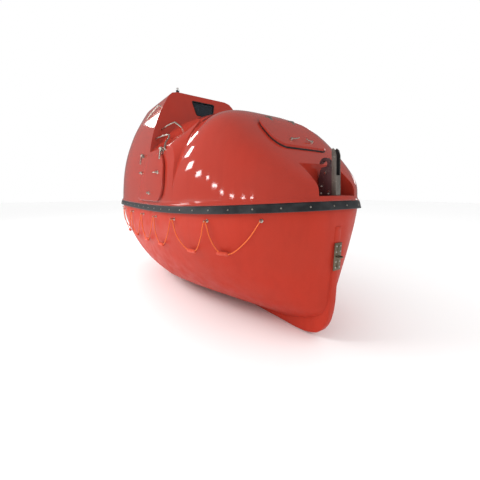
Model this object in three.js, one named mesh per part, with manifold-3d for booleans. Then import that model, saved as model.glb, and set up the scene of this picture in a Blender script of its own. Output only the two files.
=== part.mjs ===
// Totally enclosed lifeboat, 5.0 m long, 2.2 m broad and 1.2 m deep.
// Millimetres. +X is the bow, +Y is port, +Z is up. The origin is amidships on the centreline,
// at the waterline.

import * as THREE from 'three';
import { mergeVertices } from 'three/addons/utils/BufferGeometryUtils.js';
import Module from 'manifold-3d';

const wasm = await Module();
wasm.setup();

// Driving sizes of the boat
const HALF_LENGTH = 2500;
const HALF_BREADTH = 1100;
const GUNWALE_Z = 660; // lower edge of the rubbing strake amidships
const KEEL_Z = -560; // underside of the keel bar
const SKIN_DEPTH = 1174; // gunwale to the lowest point of the hull skin
const SHEER_FORE = 106; // rise of the gunwale from amidships to the bow
const SHEER_AFT = 30;
const STRAKE_PROUD = 38; // how far the strake stands out from the skin
const SKIN_LENGTH = HALF_LENGTH - STRAKE_PROUD;
const SKIN_BREADTH = HALF_BREADTH - STRAKE_PROUD;
const HULL_WALL = 40;
const CANOPY_WALL = 34;
const FLANGE_HEIGHT = 38; // the hull's upright edge behind the strake, and the canopy's above it
const FIT = 0.3; // gap between parts that touch
const CLEAR = 5; // gap between parts that move past each other

// Colours read off the boat
const ORANGE = { color: 0xc5452f, roughness: 0.28, metalness: 0.0 };
const RUBBER = { color: 0x23282d, roughness: 0.6, metalness: 0.0 };
const STEEL = { color: 0xb9b4aa, roughness: 0.32, metalness: 0.9 };
const BROWN = { color: 0x4a3033, roughness: 0.5, metalness: 0.3 };
const GLASS = { color: 0x3b4552, roughness: 0.1, metalness: 0.0 };
const ROPE = { color: 0xf07a36, roughness: 0.85, metalness: 0.0 };
const BRONZE = { color: 0xa07a3c, roughness: 0.35, metalness: 0.9 };
const PALE = { color: 0xd9d6cc, roughness: 0.6, metalness: 0.0 };
const GREY = { color: 0x6e7479, roughness: 0.5, metalness: 0.4 };

const boat = new THREE.Group();

// Adds one named part to the boat
function addPart(name, shape, look) {
  const geometry = shape.isBufferGeometry ? shape : toGeometry(shape);
  const part = new THREE.Mesh(geometry, new THREE.MeshStandardMaterial(look));
  part.name = name;
  boat.add(part);
  return part;
}

// Solids for joining and cutting
function toSolid(geometry) {
  const bare = geometry.clone();
  bare.deleteAttribute('normal');
  bare.deleteAttribute('uv');
  const welded = mergeVertices(bare, 1e-3);
  const vertProperties = new Float32Array(welded.attributes.position.array);
  const triVerts = new Uint32Array(welded.index.array);
  const solid = new wasm.Manifold(new wasm.Mesh({ numProp: 3, vertProperties, triVerts }));
  if (solid.volume() > 0) return solid;
  return new wasm.Manifold(new wasm.Mesh({ numProp: 3, vertProperties, triVerts: triVerts.reverse() }));
}

function toGeometry(solid) {
  const mesh = solid.getMesh();
  const geometry = new THREE.BufferGeometry();
  geometry.setAttribute('position', new THREE.BufferAttribute(mesh.vertProperties, 3));
  geometry.setIndex(new THREE.BufferAttribute(mesh.triVerts, 1));
  geometry.computeVertexNormals();
  return geometry;
}

function join(...solids) {
  return solids.reduce((whole, next) => whole.add(next));
}

function cut(solid, ...tools) {
  return tools.reduce((left, tool) => left.subtract(tool), solid);
}

function box([x0, x1], [y0, y1], [z0, z1]) {
  const geometry = new THREE.BoxGeometry(x1 - x0, y1 - y0, z1 - z0);
  return toSolid(geometry.translate((x0 + x1) / 2, (y0 + y1) / 2, (z0 + z1) / 2));
}

// A round bar from one point to another
function rod(from, to, radius, sides = 16, endRadius = radius) {
  const start = new THREE.Vector3(...from);
  const along = new THREE.Vector3(...to).sub(start);
  const geometry = new THREE.CylinderGeometry(endRadius, radius, along.length(), sides);
  const up = new THREE.Vector3(0, 1, 0);
  const turn = new THREE.Quaternion().setFromUnitVectors(up, along.clone().normalize());
  geometry.applyQuaternion(turn);
  geometry.translate(...start.addScaledVector(along, 0.5).toArray());
  return toSolid(geometry);
}

// A round bar along a smooth path
function bentTube(points, radius, steps, sides = 8) {
  const knots = points.map((p) => new THREE.Vector3(...p));
  const path = new THREE.CatmullRomCurve3(knots, false, 'centripetal');
  const section = new THREE.Shape().absarc(0, 0, radius, 0, 2 * Math.PI);
  const options = { steps, curveSegments: sides, bevelEnabled: false, extrudePath: path };
  return toSolid(new THREE.ExtrudeGeometry(section, options));
}

// A flat plate: its outline is drawn in two axes and its thickness runs along the third.
// plane 'xz' thickens along Y, 'yz' along X and 'xy' along Z, from low to high.
function plate(outline, plane, low, high, bevel = 0) {
  const corners = outline instanceof THREE.Shape ? null : outline.map(([u, v]) => new THREE.Vector2(u, v));
  const shape = corners ? new THREE.Shape(corners) : outline;
  const depth = high - low - 2 * bevel;
  const options = {
    depth,
    curveSegments: 4,
    bevelEnabled: bevel > 0,
    bevelSize: bevel,
    bevelThickness: bevel,
    bevelOffset: -bevel,
    bevelSegments: 2,
  };
  const geometry = new THREE.ExtrudeGeometry(shape, options).translate(0, 0, low + bevel);
  const axes = { xz: [[1, 0, 0], [0, 0, 1], [0, -1, 0]], yz: [[0, 1, 0], [0, 0, 1], [1, 0, 0]] }[plane];
  if (axes) {
    const [u, v, w] = axes.map((a) => new THREE.Vector3(...a));
    if (plane === 'xz') geometry.translate(0, 0, -(low + high));
    geometry.applyMatrix4(new THREE.Matrix4().makeBasis(u, v, w));
  }
  return toSolid(geometry);
}

// A rectangle with round corners, centred on (u, v)
function roundedRectangle(u, v, width, height, radius) {
  const shape = new THREE.Shape();
  const [left, right, low, high] = [u - width / 2, u + width / 2, v - height / 2, v + height / 2];
  shape.moveTo(left + radius, low);
  shape.lineTo(right - radius, low).absarc(right - radius, low + radius, radius, -Math.PI / 2, 0);
  shape.lineTo(right, high - radius).absarc(right - radius, high - radius, radius, 0, Math.PI / 2);
  shape.lineTo(left + radius, high).absarc(left + radius, high - radius, radius, Math.PI / 2, Math.PI);
  shape.lineTo(left, low + radius).absarc(left + radius, low + radius, radius, Math.PI, 1.5 * Math.PI);
  return shape;
}

// A closed surface through rings of equally many points, with a fan over each end
function throughRings(rings) {
  const count = rings[0].length;
  const points = rings.flat();
  const faces = [];
  for (let level = 0; level + 1 < rings.length; level += 1) {
    for (let i = 0; i < count; i += 1) {
      const next = (i + 1) % count;
      const [a, b] = [level * count + i, level * count + next];
      const [c, d] = [a + count, b + count];
      faces.push(a, b, d, a, d, c);
    }
  }
  const capEnd = (level, outward) => {
    const centre = rings[level].reduce((sum, p) => sum.map((s, k) => s + p[k] / count), [0, 0, 0]);
    const hub = points.push(centre) - 1;
    for (let i = 0; i < count; i += 1) {
      const [a, b] = [level * count + i, level * count + ((i + 1) % count)];
      faces.push(...(outward ? [a, b, hub] : [b, a, hub]));
    }
  };
  capEnd(0, false);
  capEnd(rings.length - 1, true);
  const geometry = new THREE.BufferGeometry();
  geometry.setAttribute('position', new THREE.Float32BufferAttribute(points.flat(), 3));
  geometry.setIndex(faces);
  return toSolid(geometry);
}

// Plan of the boat: a superellipse, rounder at the bow and fuller at the stern
const BOW_FULLNESS = 2.66;
const BOW_FINING = { amount: 1.63, power: 1.2 }; // how the plan at the bow sharpens towards the keel
const STERN_FULLNESS = 5.2;
const STATIONS_PER_SIDE = 22;

function superellipse(fraction, power) {
  return (1 - Math.abs(fraction) ** power) ** (1 / power);
}

function gunwale(x) {
  return GUNWALE_Z + (x > 0 ? SHEER_FORE : SHEER_AFT) * (x / HALF_LENGTH) ** 2;
}

// Lengthwise fractions of the plan, from the bow (+1) to the stern (-1), evenly along its edge.
// The first and last stand half a step off the centreline, so a short flat facet closes each end.
function planFractions() {
  const fine = 4000;
  const edge = [];
  for (let i = 0; i <= fine; i += 1) {
    const angle = (Math.PI * i) / fine;
    const power = angle < Math.PI / 2 ? BOW_FULLNESS : STERN_FULLNESS;
    const [c, s] = [Math.cos(angle), Math.sin(angle)];
    const reach = (Math.abs(c / SKIN_LENGTH) ** power + Math.abs(s / SKIN_BREADTH) ** power) ** (-1 / power);
    edge.push([reach * c, reach * s]);
  }
  const along = [0];
  for (let i = 1; i <= fine; i += 1) {
    along.push(along[i - 1] + Math.hypot(edge[i][0] - edge[i - 1][0], edge[i][1] - edge[i - 1][1]));
  }
  const fractions = [];
  for (let k = 0; k < STATIONS_PER_SIDE; k += 1) {
    const wanted = (along[fine] * (k + 0.5)) / STATIONS_PER_SIDE;
    const i = along.findIndex((distance) => distance >= wanted);
    fractions.push(edge[i][0] / SKIN_LENGTH);
  }
  return fractions;
}

const FRACTIONS = planFractions();

// Half breadth of the skin at the gunwale, along the straight edges between the stations
function planBreadth(x, inset = 0) {
  const fraction = x / (SKIN_LENGTH - inset);
  const i = Math.max(FRACTIONS.findIndex((station) => station <= fraction), 1);
  const [ahead, behind] = [FRACTIONS[i - 1], FRACTIONS[i]];
  const breadthAt = (station) => superellipse(station, station > 0 ? BOW_FULLNESS : STERN_FULLNESS);
  const share = (fraction - ahead) / (behind - ahead);
  return (SKIN_BREADTH - inset) * (breadthAt(ahead) + (breadthAt(behind) - breadthAt(ahead)) * share);
}

// Hull: each level below the gunwale is a finer waterline, drawn in at the raked stern
const HULL_LEVELS = [0, 0.08, 0.18, 0.3, 0.42, 0.54, 0.65, 0.75, 0.83, 0.9, 0.95, 0.98, 0.995, 0.9995];
const STEM_RAKE = 130;
const FOREFOOT_CUT = 488;
const STERN_RAKE = 900;

function hullRing(level, inset = 0, lift = 0) {
  const breadth = SKIN_BREADTH * (1 - level ** 2.03) ** 0.332 * (1 + 0.1 * level * (1 - level)) - inset;
  const forefoot = Math.max((level - 0.75) / 0.25, 0) ** 2.2;
  const stem = SKIN_LENGTH - STEM_RAKE * level - FOREFOOT_CUT * forefoot - inset;
  const stern = SKIN_LENGTH - STERN_RAKE * level ** 0.84 - inset;
  const bowPower = BOW_FULLNESS - BOW_FINING.amount * level ** BOW_FINING.power;
  const sternPower = STERN_FULLNESS - 3.6 * level;
  const side = FRACTIONS.map((fraction) => {
    const x = fraction * (fraction > 0 ? stem : stern);
    const y = Math.max(breadth, 8) * superellipse(fraction, fraction > 0 ? bowPower : sternPower);
    const top = gunwale(x) + lift;
    return [x, y, top - level * (top - (GUNWALE_Z - SKIN_DEPTH + inset))];
  });
  return [...side, ...side.map(([x, y, z]) => [x, -y, z]).reverse()];
}

const KEEL_HALF = 48;
const STEM_PROFILE = [
  [2455, 600], [2440, 450], [2418, 170], [2392, -130], [2362, -290], [2312, -410], [2215, -505], [2070, -550],
];
const STERN_TUBE_Z = -225;
const PROPELLER_X = -1960;
const RUDDER_X = -2180;
const HEEL_TOP = -505;
const STOCK_RADIUS = 20;
const SHAFT_RADIUS = 18;
const FLOOR_TOP = -130;
const FLOOR_THICK = 20;

function keelBar() {
  const profile = [
    ...STEM_PROFILE,
    [1950, KEEL_Z],
    [-1600, KEEL_Z],
    [-1690, -470],
    [-1600, -440],
    [1500, -470],
    [1900, -400],
    [2130, -180],
    [2300, 100],
    [2400, 600],
  ];
  return plate(profile.reverse(), 'xz', -KEEL_HALF, KEEL_HALF, 18);
}

function insideRings(inset) {
  return HULL_LEVELS.slice(0, -2).map((level) => hullRing(level, inset));
}

// Half breadth of the skin at a place along the boat and a height
function hullBreadth(x, z) {
  const level = (gunwale(x) - z) / (gunwale(x) - GUNWALE_Z + SKIN_DEPTH);
  const ring = hullRing(level).slice(0, STATIONS_PER_SIDE);
  const i = ring.findIndex((point) => point[0] <= x);
  const [[x0, y0], [x1, y1]] = [ring[i - 1], ring[i]];
  return y0 + ((y1 - y0) * (x - x0)) / (x1 - x0);
}

// Lifeline: where its eyes stand along each side, and how far below the gunwale
const EYE_X = [2126, 1560, 943, 380, -190, -800, -1430, -2050];
const EYE_DROP = 75;
const ROPE_OFF = 40; // middle of the rope from the skin
const ROPE_RADIUS = 6;
const EYE_ROOT = 20; // depth of an eye's stud in the hull
const EYE_RADIUS = 7;

function eyeStud(x, side, grow) {
  const z = gunwale(x) - EYE_DROP;
  const skin = hullBreadth(x, z);
  const [nx, ny] = eyeNormal(x, z);
  const reach = ROPE_OFF - ROPE_RADIUS + grow;
  const root = [x - EYE_ROOT * nx, side * (skin - EYE_ROOT * ny), z];
  return rod(root, [x + reach * nx, side * (skin + reach * ny), z], EYE_RADIUS + grow, 8);
}

// Outward direction in plan at a place on the port side
function eyeNormal(x, z) {
  const step = 30;
  const slope = (hullBreadth(x + step, z) - hullBreadth(x - step, z)) / (2 * step);
  const size = Math.hypot(slope, 1);
  return [-slope / size, 1 / size];
}

// The hull's shell: outer rings up, over the rim, and inner rings down
function hullShell() {
  const levels = [...HULL_LEVELS].reverse();
  const outside = levels.map((level) => hullRing(level));
  const inside = insideRings(HULL_WALL);
  const rim = [hullRing(0, 0), hullRing(0, HULL_WALL)].map((ring) => {
    return ring.map(([x, y, z]) => [x, y, z + FLANGE_HEIGHT]);
  });
  const skin = throughRings([...outside, ...rim, ...inside]);
  const sternBoss = rod([-1500, 0, STERN_TUBE_Z], [-1870, 0, STERN_TUBE_Z], 62, 20, 42);
  const shaftBore = rod([-1640, 0, STERN_TUBE_Z], [-1900, 0, STERN_TUBE_Z], SHAFT_RADIUS + 0.7, 20);
  const rudderPort = rod([RUDDER_X, 0, 180], [RUDDER_X, 0, 420], 48, 20, 60);
  const stockBore = rod([RUDDER_X, 0, 100], [RUDDER_X, 0, 400], STOCK_RADIUS + 0.7, 20);
  const heel = box([-2230, -1580], [-28, 28], [KEEL_Z, HEEL_TOP]);
  const keelson = box([-1400, 1400], [-40, 40], [-480, FLOOR_TOP - FLOOR_THICK - FIT]);
  const pintleBore = rod([RUDDER_X, 0, KEEL_Z + 15], [RUDDER_X, 0, HEEL_TOP + 20], 12.7, 16);
  const studs = EYE_X.flatMap((x) => [-1, 1].map((side) => eyeStud(x, side, 0)));
  const whole = join(skin, keelBar(), sternBoss, rudderPort, heel, keelson, ...studs);
  return cut(whole, shaftBore, stockBore, pintleBore);
}

// Rubbing strake: a wedge of rubber around the gunwale, widest at its lower lip
const STRAKE_SECTION = [[FIT, 0], [STRAKE_PROUD - 6, -6], [STRAKE_PROUD, 0], [20, 70], [14, 76], [FIT, 76]];

function outwardNormals(ring) {
  return ring.map((point, i) => {
    const before = ring[(i + ring.length - 1) % ring.length];
    const after = ring[(i + 1) % ring.length];
    const [dx, dy] = [after[0] - before[0], after[1] - before[1]];
    const size = Math.hypot(dx, dy);
    return dx * point[1] - dy * point[0] < 0 ? [dy / size, -dx / size] : [-dy / size, dx / size];
  });
}

function ringAlong(ring, section) {
  const normals = outwardNormals(ring);
  const count = ring.length;
  const sides = section.length;
  const points = ring.flatMap(([x, y, z], i) => {
    const [nx, ny] = normals[i];
    return section.map(([out, up]) => [x + out * nx, y + out * ny, z + up]);
  });
  const faces = [];
  for (let i = 0; i < count; i += 1) {
    for (let k = 0; k < sides; k += 1) {
      const [a, b] = [i * sides + k, i * sides + ((k + 1) % sides)];
      const next = (i + 1) % count;
      const [c, d] = [next * sides + k, next * sides + ((k + 1) % sides)];
      faces.push(a, b, d, a, d, c);
    }
  }
  const geometry = new THREE.BufferGeometry();
  geometry.setAttribute('position', new THREE.Float32BufferAttribute(points.flat(), 3));
  geometry.setIndex(faces);
  return toSolid(geometry);
}

// Canopy: a dome forward, and a helmsman's tower that fills the breadth of the boat aft
const CANOPY_FOOT = FLANGE_HEIGHT + FIT; // canopy's lower edge above the gunwale line
const DOME_FOOT = 80; // where the dome starts to curve, above the gunwale line
const DOME_HEIGHT = 1381;
const DOME_CREST_X = -285;
const DOME_AFT_X = -420;
const DOME_POWER = 2.28; // of its round section amidships
const BOW_POWER = 5; // of its square-shouldered section at the bow
const SQUARING = { from: 800, to: 2000 }; // where the shoulders grow square
const FRONT_SLOPE = { x: 1650, height: 969, fall: 1.047, blend: 120 }; // flat that the bow hatch lies on
const TOWER_TOP = GUNWALE_Z + 1935;
const TOWER_FRONT_X = -335; // front edge of the tower's roof
const TOWER_RAKE = 0.25; // the front face comes forward by this much for each unit down
const TOWER_AFT_X = -1300; // where the roof starts to fall to the stern
const SECTION_POINTS = 16;
const DOME_TUCK = 16; // the dome's sides draw in where the hatch surround covers them
const BEYOND_SIDE = 1450; // half breadth of tools that reach past both sides

// The flat side of the boat around its side hatches, which runs on ahead of the tower
const SURROUND = { front: 850, top: GUNWALE_Z + 790, radius: 260, outer: 1120, inner: 700 };

// Fraction of the tower's height against fraction of its breadth
const TOWER_SECTION = [
  [0, 1], [0.15, 0.995], [0.32, 0.975], [0.5, 0.92], [0.7, 0.81], [0.84, 0.695], [0.95, 0.59],
  [0.985, 0.53], [1, 0.44],
];

// The dome's top line: a long curve, and the sloping front that takes over from it near the bow
function domeHeight(x, inset) {
  const fraction = Math.max(x - DOME_CREST_X, 0) / (SKIN_LENGTH - inset - DOME_CREST_X);
  const curve = (DOME_HEIGHT - inset) * (1 - Math.min(fraction, 1) ** 2.267) ** (1 / 1.9);
  const { x: start, height, fall, blend } = FRONT_SLOPE;
  const slope = height - inset * Math.hypot(1, fall) - fall * (x - start);
  const nearness = Math.max(blend - Math.abs(curve - slope), 0);
  return Math.max(Math.min(curve, slope) - nearness ** 2 / (4 * blend), 4);
}

// Power of the superellipse that the dome's section follows
function domePower(x) {
  const share = Math.min(Math.max((x - SQUARING.from) / (SQUARING.to - SQUARING.from), 0), 1);
  return DOME_POWER + (BOW_POWER - DOME_POWER) * share * share * (3 - 2 * share);
}

function domeSection(x, inset, foot) {
  const tucked = x < SURROUND.front - inset ? 1 : 0; // inside the hatch surround
  const breadth = planBreadth(x, inset) - DOME_TUCK * tucked;
  const base = gunwale(x) + DOME_FOOT;
  const height = domeHeight(x, inset);
  const bend = 2 / domePower(x);
  const arch = [];
  for (let i = 0; i <= SECTION_POINTS; i += 1) {
    const angle = (Math.PI * i) / SECTION_POINTS;
    const [c, s] = [Math.cos(angle), Math.sin(angle)];
    arch.push([x, breadth * Math.sign(c) * Math.abs(c) ** bend, base + height * Math.max(s, 0) ** bend]);
  }
  const low = foot(x) + DOME_TUCK * tucked;
  return [[x, breadth, low], ...arch, [x, -breadth, low]];
}

function towerHeight(x, inset) {
  const rise = TOWER_TOP - GUNWALE_Z - DOME_FOOT - inset;
  const fraction = Math.max(TOWER_AFT_X - x, 0) / (SKIN_LENGTH - inset + TOWER_AFT_X);
  return Math.max(rise * superellipse(Math.min(fraction, 1), 2.7), 4);
}

function towerSection(x, inset, foot) {
  const breadth = planBreadth(x, inset);
  const base = gunwale(x) + DOME_FOOT;
  const height = towerHeight(x, inset);
  const side = TOWER_SECTION.map(([up, out]) => [x, breadth * out, base + height * up]);
  const port = [[x, breadth, foot(x)], ...side];
  return [...port, ...port.map(([, y, z]) => [x, -y, z]).reverse()];
}

function stationsBetween(low, high, inset) {
  return FRACTIONS.map((fraction) => fraction * (SKIN_LENGTH - inset)).filter((x) => x > low && x < high);
}

// The canopy's solid form, drawn in by inset (or grown, if negative)
function domeForm(inset, foot) {
  const edge = SURROUND.front - inset;
  const ahead = stationsBetween(edge + 60, 2 * HALF_LENGTH, inset);
  const behind = stationsBetween(DOME_AFT_X, edge - 60, inset);
  const stations = [...ahead, edge + 20, edge - 20, ...behind, DOME_AFT_X];
  return throughRings(stations.map((x) => domeSection(x, inset, foot)));
}

function towerForm(inset, foot) {
  const stations = [SURROUND.front + 60, ...stationsBetween(-HALF_LENGTH * 2, SURROUND.front, inset)];
  const whole = throughRings(stations.map((x) => towerSection(x, inset, foot)));
  return cut(whole, frontOfTower(inset).subtract(hatchSurround(inset)));
}

// A flat boss on each side, whose edges slope in towards the dome at 45 degrees
function hatchSurround(inset) {
  const { front, top, radius, outer, inner } = SURROUND;
  const outline = (grow) => {
    const shape = new THREE.Shape();
    const [right, high] = [front + grow - inset, top + grow - inset];
    shape.moveTo(-1300, 0);
    shape.lineTo(right, 0);
    shape.lineTo(right, high - radius).absarc(right - radius, high - radius, radius, 0, Math.PI / 2);
    shape.lineTo(-1300, high);
    return shape.getPoints(6);
  };
  return join(...[-1, 1].map((side) => throughRings([outer, inner].map((out) => {
    return outline(SKIN_BREADTH - out).map(({ x, y }) => [x, side * out, y]);
  }))));
}

// Everything ahead of the tower's raked front face
function frontOfTower(inset) {
  const edge = TOWER_FRONT_X - inset;
  const high = TOWER_TOP + 400;
  const frontAt = (z) => edge + TOWER_RAKE * (TOWER_TOP - z);
  const outline = [[frontAt(0), 0], [HALF_LENGTH, 0], [HALF_LENGTH, high], [frontAt(high), high]];
  return plate(outline, 'xz', -BEYOND_SIDE, BEYOND_SIDE);
}

function canopyForm(inset, foot) {
  return join(domeForm(inset, foot), towerForm(inset, foot));
}

const atRim = (x) => gunwale(x) + CANOPY_FOOT;
const belowRim = (x) => gunwale(x) - 60;
const canopyOutside = canopyForm(0, atRim);
const canopyInside = canopyForm(CANOPY_WALL, belowRim);

// Recesses for the lifting hooks: half breadth at each height above the floor
const RECESS_BACK = 2215;
const RECESS_FLOOR = GUNWALE_Z + 195;
const BOW_RECESS = [[0, 240], [30, 272], [290, 278], [390, 316], [1700, 316]];
const STERN_RECESS = [[0, 200], [145, 285], [255, 335], [375, 365], [480, 150], [1700, 110]];

function recess(toward, grow) {
  const sides = toward > 0 ? BOW_RECESS : STERN_RECESS;
  const half = sides.map(([up, out]) => [out + grow, RECESS_FLOOR + up - (up > 0 ? 0 : grow)]);
  const outline = [...half, ...half.map(([y, z]) => [-y, z]).reverse()];
  const [start, end] = [RECESS_BACK - grow, 2 * HALF_LENGTH];
  return toward > 0 ? plate(outline, 'yz', start, end) : plate(outline, 'yz', -end, -start);
}

// Hatches: each lid follows the skin just outside its opening
const LID_THICK = 26;
const LID_LAP = 28;
const skinClear = canopyForm(-CLEAR, belowRim);
const skinLid = canopyForm(-CLEAR - LID_THICK, belowRim);
const lidLayer = cut(skinLid, skinClear);

const BOW_HATCH = { x: 1864, long: 324, wide: 772, corner: 120 };
const AFT_HATCH = { x: -1850, long: 420, wide: 560, corner: 110 };
const SIDE_HATCH = { x: 60, z: GUNWALE_Z + 455, long: 1120, tall: 590, corner: 220 };

function topHatchTool({ x, long, wide, corner }, grow) {
  const plan = roundedRectangle(x, 0, long + 2 * grow, wide + 2 * grow, corner + grow);
  return plate(plan, 'xy', GUNWALE_Z + 200, TOWER_TOP + 300);
}

function sideHatchTool({ x, z, long, tall, corner }, side, grow) {
  const outline = roundedRectangle(x, z, long + 2 * grow, tall + 2 * grow, corner + grow);
  return side > 0 ? plate(outline, 'xz', 500, 1300) : plate(outline, 'xz', -1300, -500);
}

// Window in the tower's front face: across, and down from its top edge
const WINDOW_OUTLINE = [[-150, -250], [150, -250], [210, 0], [-210, 0]];
const WINDOW_TOP_Z = TOWER_TOP - 110;
const PANE_SET_BACK = 8;
const PANE_THICK = 10;

function windowTool(shrink) {
  const outline = WINDOW_OUTLINE.map(([y, z]) => {
    const up = WINDOW_TOP_Z + z + (z < 0 ? shrink : -shrink);
    return [y - Math.sign(y) * shrink, up];
  });
  return plate(outline, 'yz', -700, 0);
}

// Hinges: two lugs and a pin on the canopy, a knuckle and a strap on the lid
const PIN_RADIUS = 6;
const BARREL_RADIUS = 13;
const KNUCKLE_HALF = 26;
const LUG_LONG = 14;
const STRAP_THICK = 12;
const PIN_PLAY = 0.8;

function pointAlong([x, y, z], axis, distance) {
  return axis === 'x' ? [x + distance, y, z] : [x, y + distance, z];
}

// foot is where each lug is rooted, measured from the pin
function hingeLugs(at, axis, foot) {
  const near = KNUCKLE_HALF + 1;
  const far = near + LUG_LONG;
  const pin = rod(pointAlong(at, axis, -far), pointAlong(at, axis, far), PIN_RADIUS, 8);
  const lugs = [-1, 1].map((end) => {
    const middle = pointAlong(at, axis, (end * (near + far)) / 2);
    const root = [middle[0] + foot[0], middle[1] + foot[1], middle[2] + foot[2]];
    const centre = axis === 'x' ? middle[0] : middle[1];
    const span = [centre - LUG_LONG / 2, centre + LUG_LONG / 2];
    return strapPlate([middle, root], axis, span, 2 * BARREL_RADIUS);
  });
  return join(pin, ...lugs);
}

// A flat bar through points in the plane across the axis, between two places along that axis
function strapPlate(points, axis, [low, high], thick) {
  const flat = points.map((p) => (axis === 'x' ? [p[1], p[2]] : [p[0], p[2]]));
  const sideOf = (sign) => flat.map(([u, v], i) => {
    const [a, b] = [flat[Math.max(i - 1, 0)], flat[Math.min(i + 1, flat.length - 1)]];
    const size = Math.hypot(b[0] - a[0], b[1] - a[1]);
    return [u - (sign * thick * (b[1] - a[1])) / (2 * size), v + (sign * thick * (b[0] - a[0])) / (2 * size)];
  });
  return plate([...sideOf(1), ...sideOf(-1).reverse()], axis === 'x' ? 'yz' : 'xz', low, high);
}

function hingeStrap(at, axis, points, thick) {
  const bar = (half, radius, sides) => {
    return rod(pointAlong(at, axis, -half), pointAlong(at, axis, half), radius, sides);
  };
  const barrel = bar(KNUCKLE_HALF, BARREL_RADIUS, 12);
  const bore = bar(2 * KNUCKLE_HALF, PIN_RADIUS + PIN_PLAY, 10);
  const centre = axis === 'x' ? at[0] : at[1];
  const strap = strapPlate(points, axis, [centre - KNUCKLE_HALF + 4, centre + KNUCKLE_HALF - 4], thick);
  return cut(join(barrel, strap), bore);
}

// Height of the skin above a place on the plan
function skinTop(x, y, inset = 0) {
  const across = Math.min(Math.abs(y) / planBreadth(x, inset), 0.999);
  return gunwale(x) + DOME_FOOT + domeHeight(x, inset) * superellipse(across, domePower(x));
}

// Breadth of the tower's side at a height
function towerSide(x, z) {
  const up = (z - gunwale(x) - DOME_FOOT) / towerHeight(x, 0);
  const i = TOWER_SECTION.findIndex(([height]) => height >= up);
  const [[u0, b0], [u1, b1]] = [TOWER_SECTION[i - 1], TOWER_SECTION[i]];
  return planBreadth(x) * (b0 + ((b1 - b0) * (up - u0)) / (u1 - u0));
}

const BOW_HINGE = { x: BOW_HATCH.x - BOW_HATCH.long / 2 - 50, y: 181, above: 34 };
const AFT_HINGE = { x: AFT_HATCH.x + AFT_HATCH.long / 2 + 50, y: 150 };
const SIDE_HINGE = { z: SIDE_HATCH.z + SIDE_HATCH.tall / 2 + 84, spread: 440 };
const bowHingeZ = skinTop(BOW_HINGE.x, BOW_HINGE.y) + BOW_HINGE.above;
const aftHingeZ = gunwale(AFT_HINGE.x) + DOME_FOOT + towerHeight(AFT_HINGE.x, 0) + 34;
const sideHingeY = towerSide(SIDE_HATCH.x - SIDE_HINGE.spread, SIDE_HINGE.z) + 36;

// Canopy moulding
function canopyShell() {
  const outside = cut(canopyOutside, recess(1, 0), recess(-1, 0));
  const inside = cut(canopyInside, recess(1, CANOPY_WALL), recess(-1, CANOPY_WALL));
  const openings = [
    topHatchTool(BOW_HATCH, 0),
    topHatchTool(AFT_HATCH, 0),
    sideHatchTool(SIDE_HATCH, 1, 0),
    sideHatchTool(SIDE_HATCH, -1, 0),
    windowTool(0),
  ];
  const shell = cut(outside, inside, openings[0].subtract(frontHalf(-1)), openings[1].subtract(frontHalf(1)),
    ...openings.slice(2));
  const lugs = [];
  for (const side of [-1, 1]) {
    lugs.push(hingeLugs([BOW_HINGE.x, side * BOW_HINGE.y, bowHingeZ], 'y', [-16, 0, -62]));
    lugs.push(hingeLugs([AFT_HINGE.x, side * AFT_HINGE.y, aftHingeZ], 'y', [10, 0, -56]));
    for (const end of [-1, 1]) {
      const x = SIDE_HATCH.x + end * SIDE_HINGE.spread;
      lugs.push(hingeLugs([x, side * sideHingeY, SIDE_HINGE.z], 'x', [0, -side * 60, -64]));
    }
  }
  return join(shell, ...lugs);
}

// Half of space ahead of (1) or behind (-1) amidships
function frontHalf(toward) {
  const reach = 2 * HALF_LENGTH;
  return box(toward > 0 ? [0, reach] : [-reach, 0], [-reach, reach], [-reach, reach]);
}

// A turning handle that dogs a lid down: a boss and a bent lever
const DOG_BOSS = 15;
const DOG_RISE = 34;

function dogHandle([x, y, z], [nx, ny, nz], [ax, ay, az]) {
  const at = (out, along) => [
    x + out * nx + along * ax,
    y + out * ny + along * ay,
    z + out * nz + along * az,
  ];
  const boss = rod(at(-12, 0), at(DOG_RISE, 0), DOG_BOSS, 10);
  const lever = rod(at(DOG_RISE - 8, 0), at(DOG_RISE + 4, 105), 7, 8);
  return join(boss, lever);
}

// Lids: each one has its hinge straps and handles
const lidTop = (x, y) => skinTop(x, y) + CLEAR + LID_THICK;
const BOW_HANDLES = { x: 1978, y: 161 };
const BOW_FACING = [0.7, 0, 0.714]; // the way that the bow hatch faces

function bowHatchLid() {
  const lid = lidLayer.intersect(topHatchTool(BOW_HATCH, LID_LAP));
  const fittings = [-1, 1].flatMap((side) => {
    const y = side * BOW_HINGE.y;
    const at = [BOW_HINGE.x, y, bowHingeZ];
    const middle = [BOW_HINGE.x + 45, y, lidTop(BOW_HINGE.x + 45, y) + 4];
    const end = [BOW_HINGE.x + 150, y, lidTop(BOW_HINGE.x + 150, y) - 1];
    const foot = [BOW_HANDLES.x, side * BOW_HANDLES.y, lidTop(BOW_HANDLES.x, BOW_HANDLES.y)];
    const strap = hingeStrap(at, 'y', [at, middle, end], STRAP_THICK);
    return [strap, dogHandle(foot, BOW_FACING, [0, -side * 0.9, 0.1])];
  });
  return join(lid, ...fittings);
}

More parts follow.
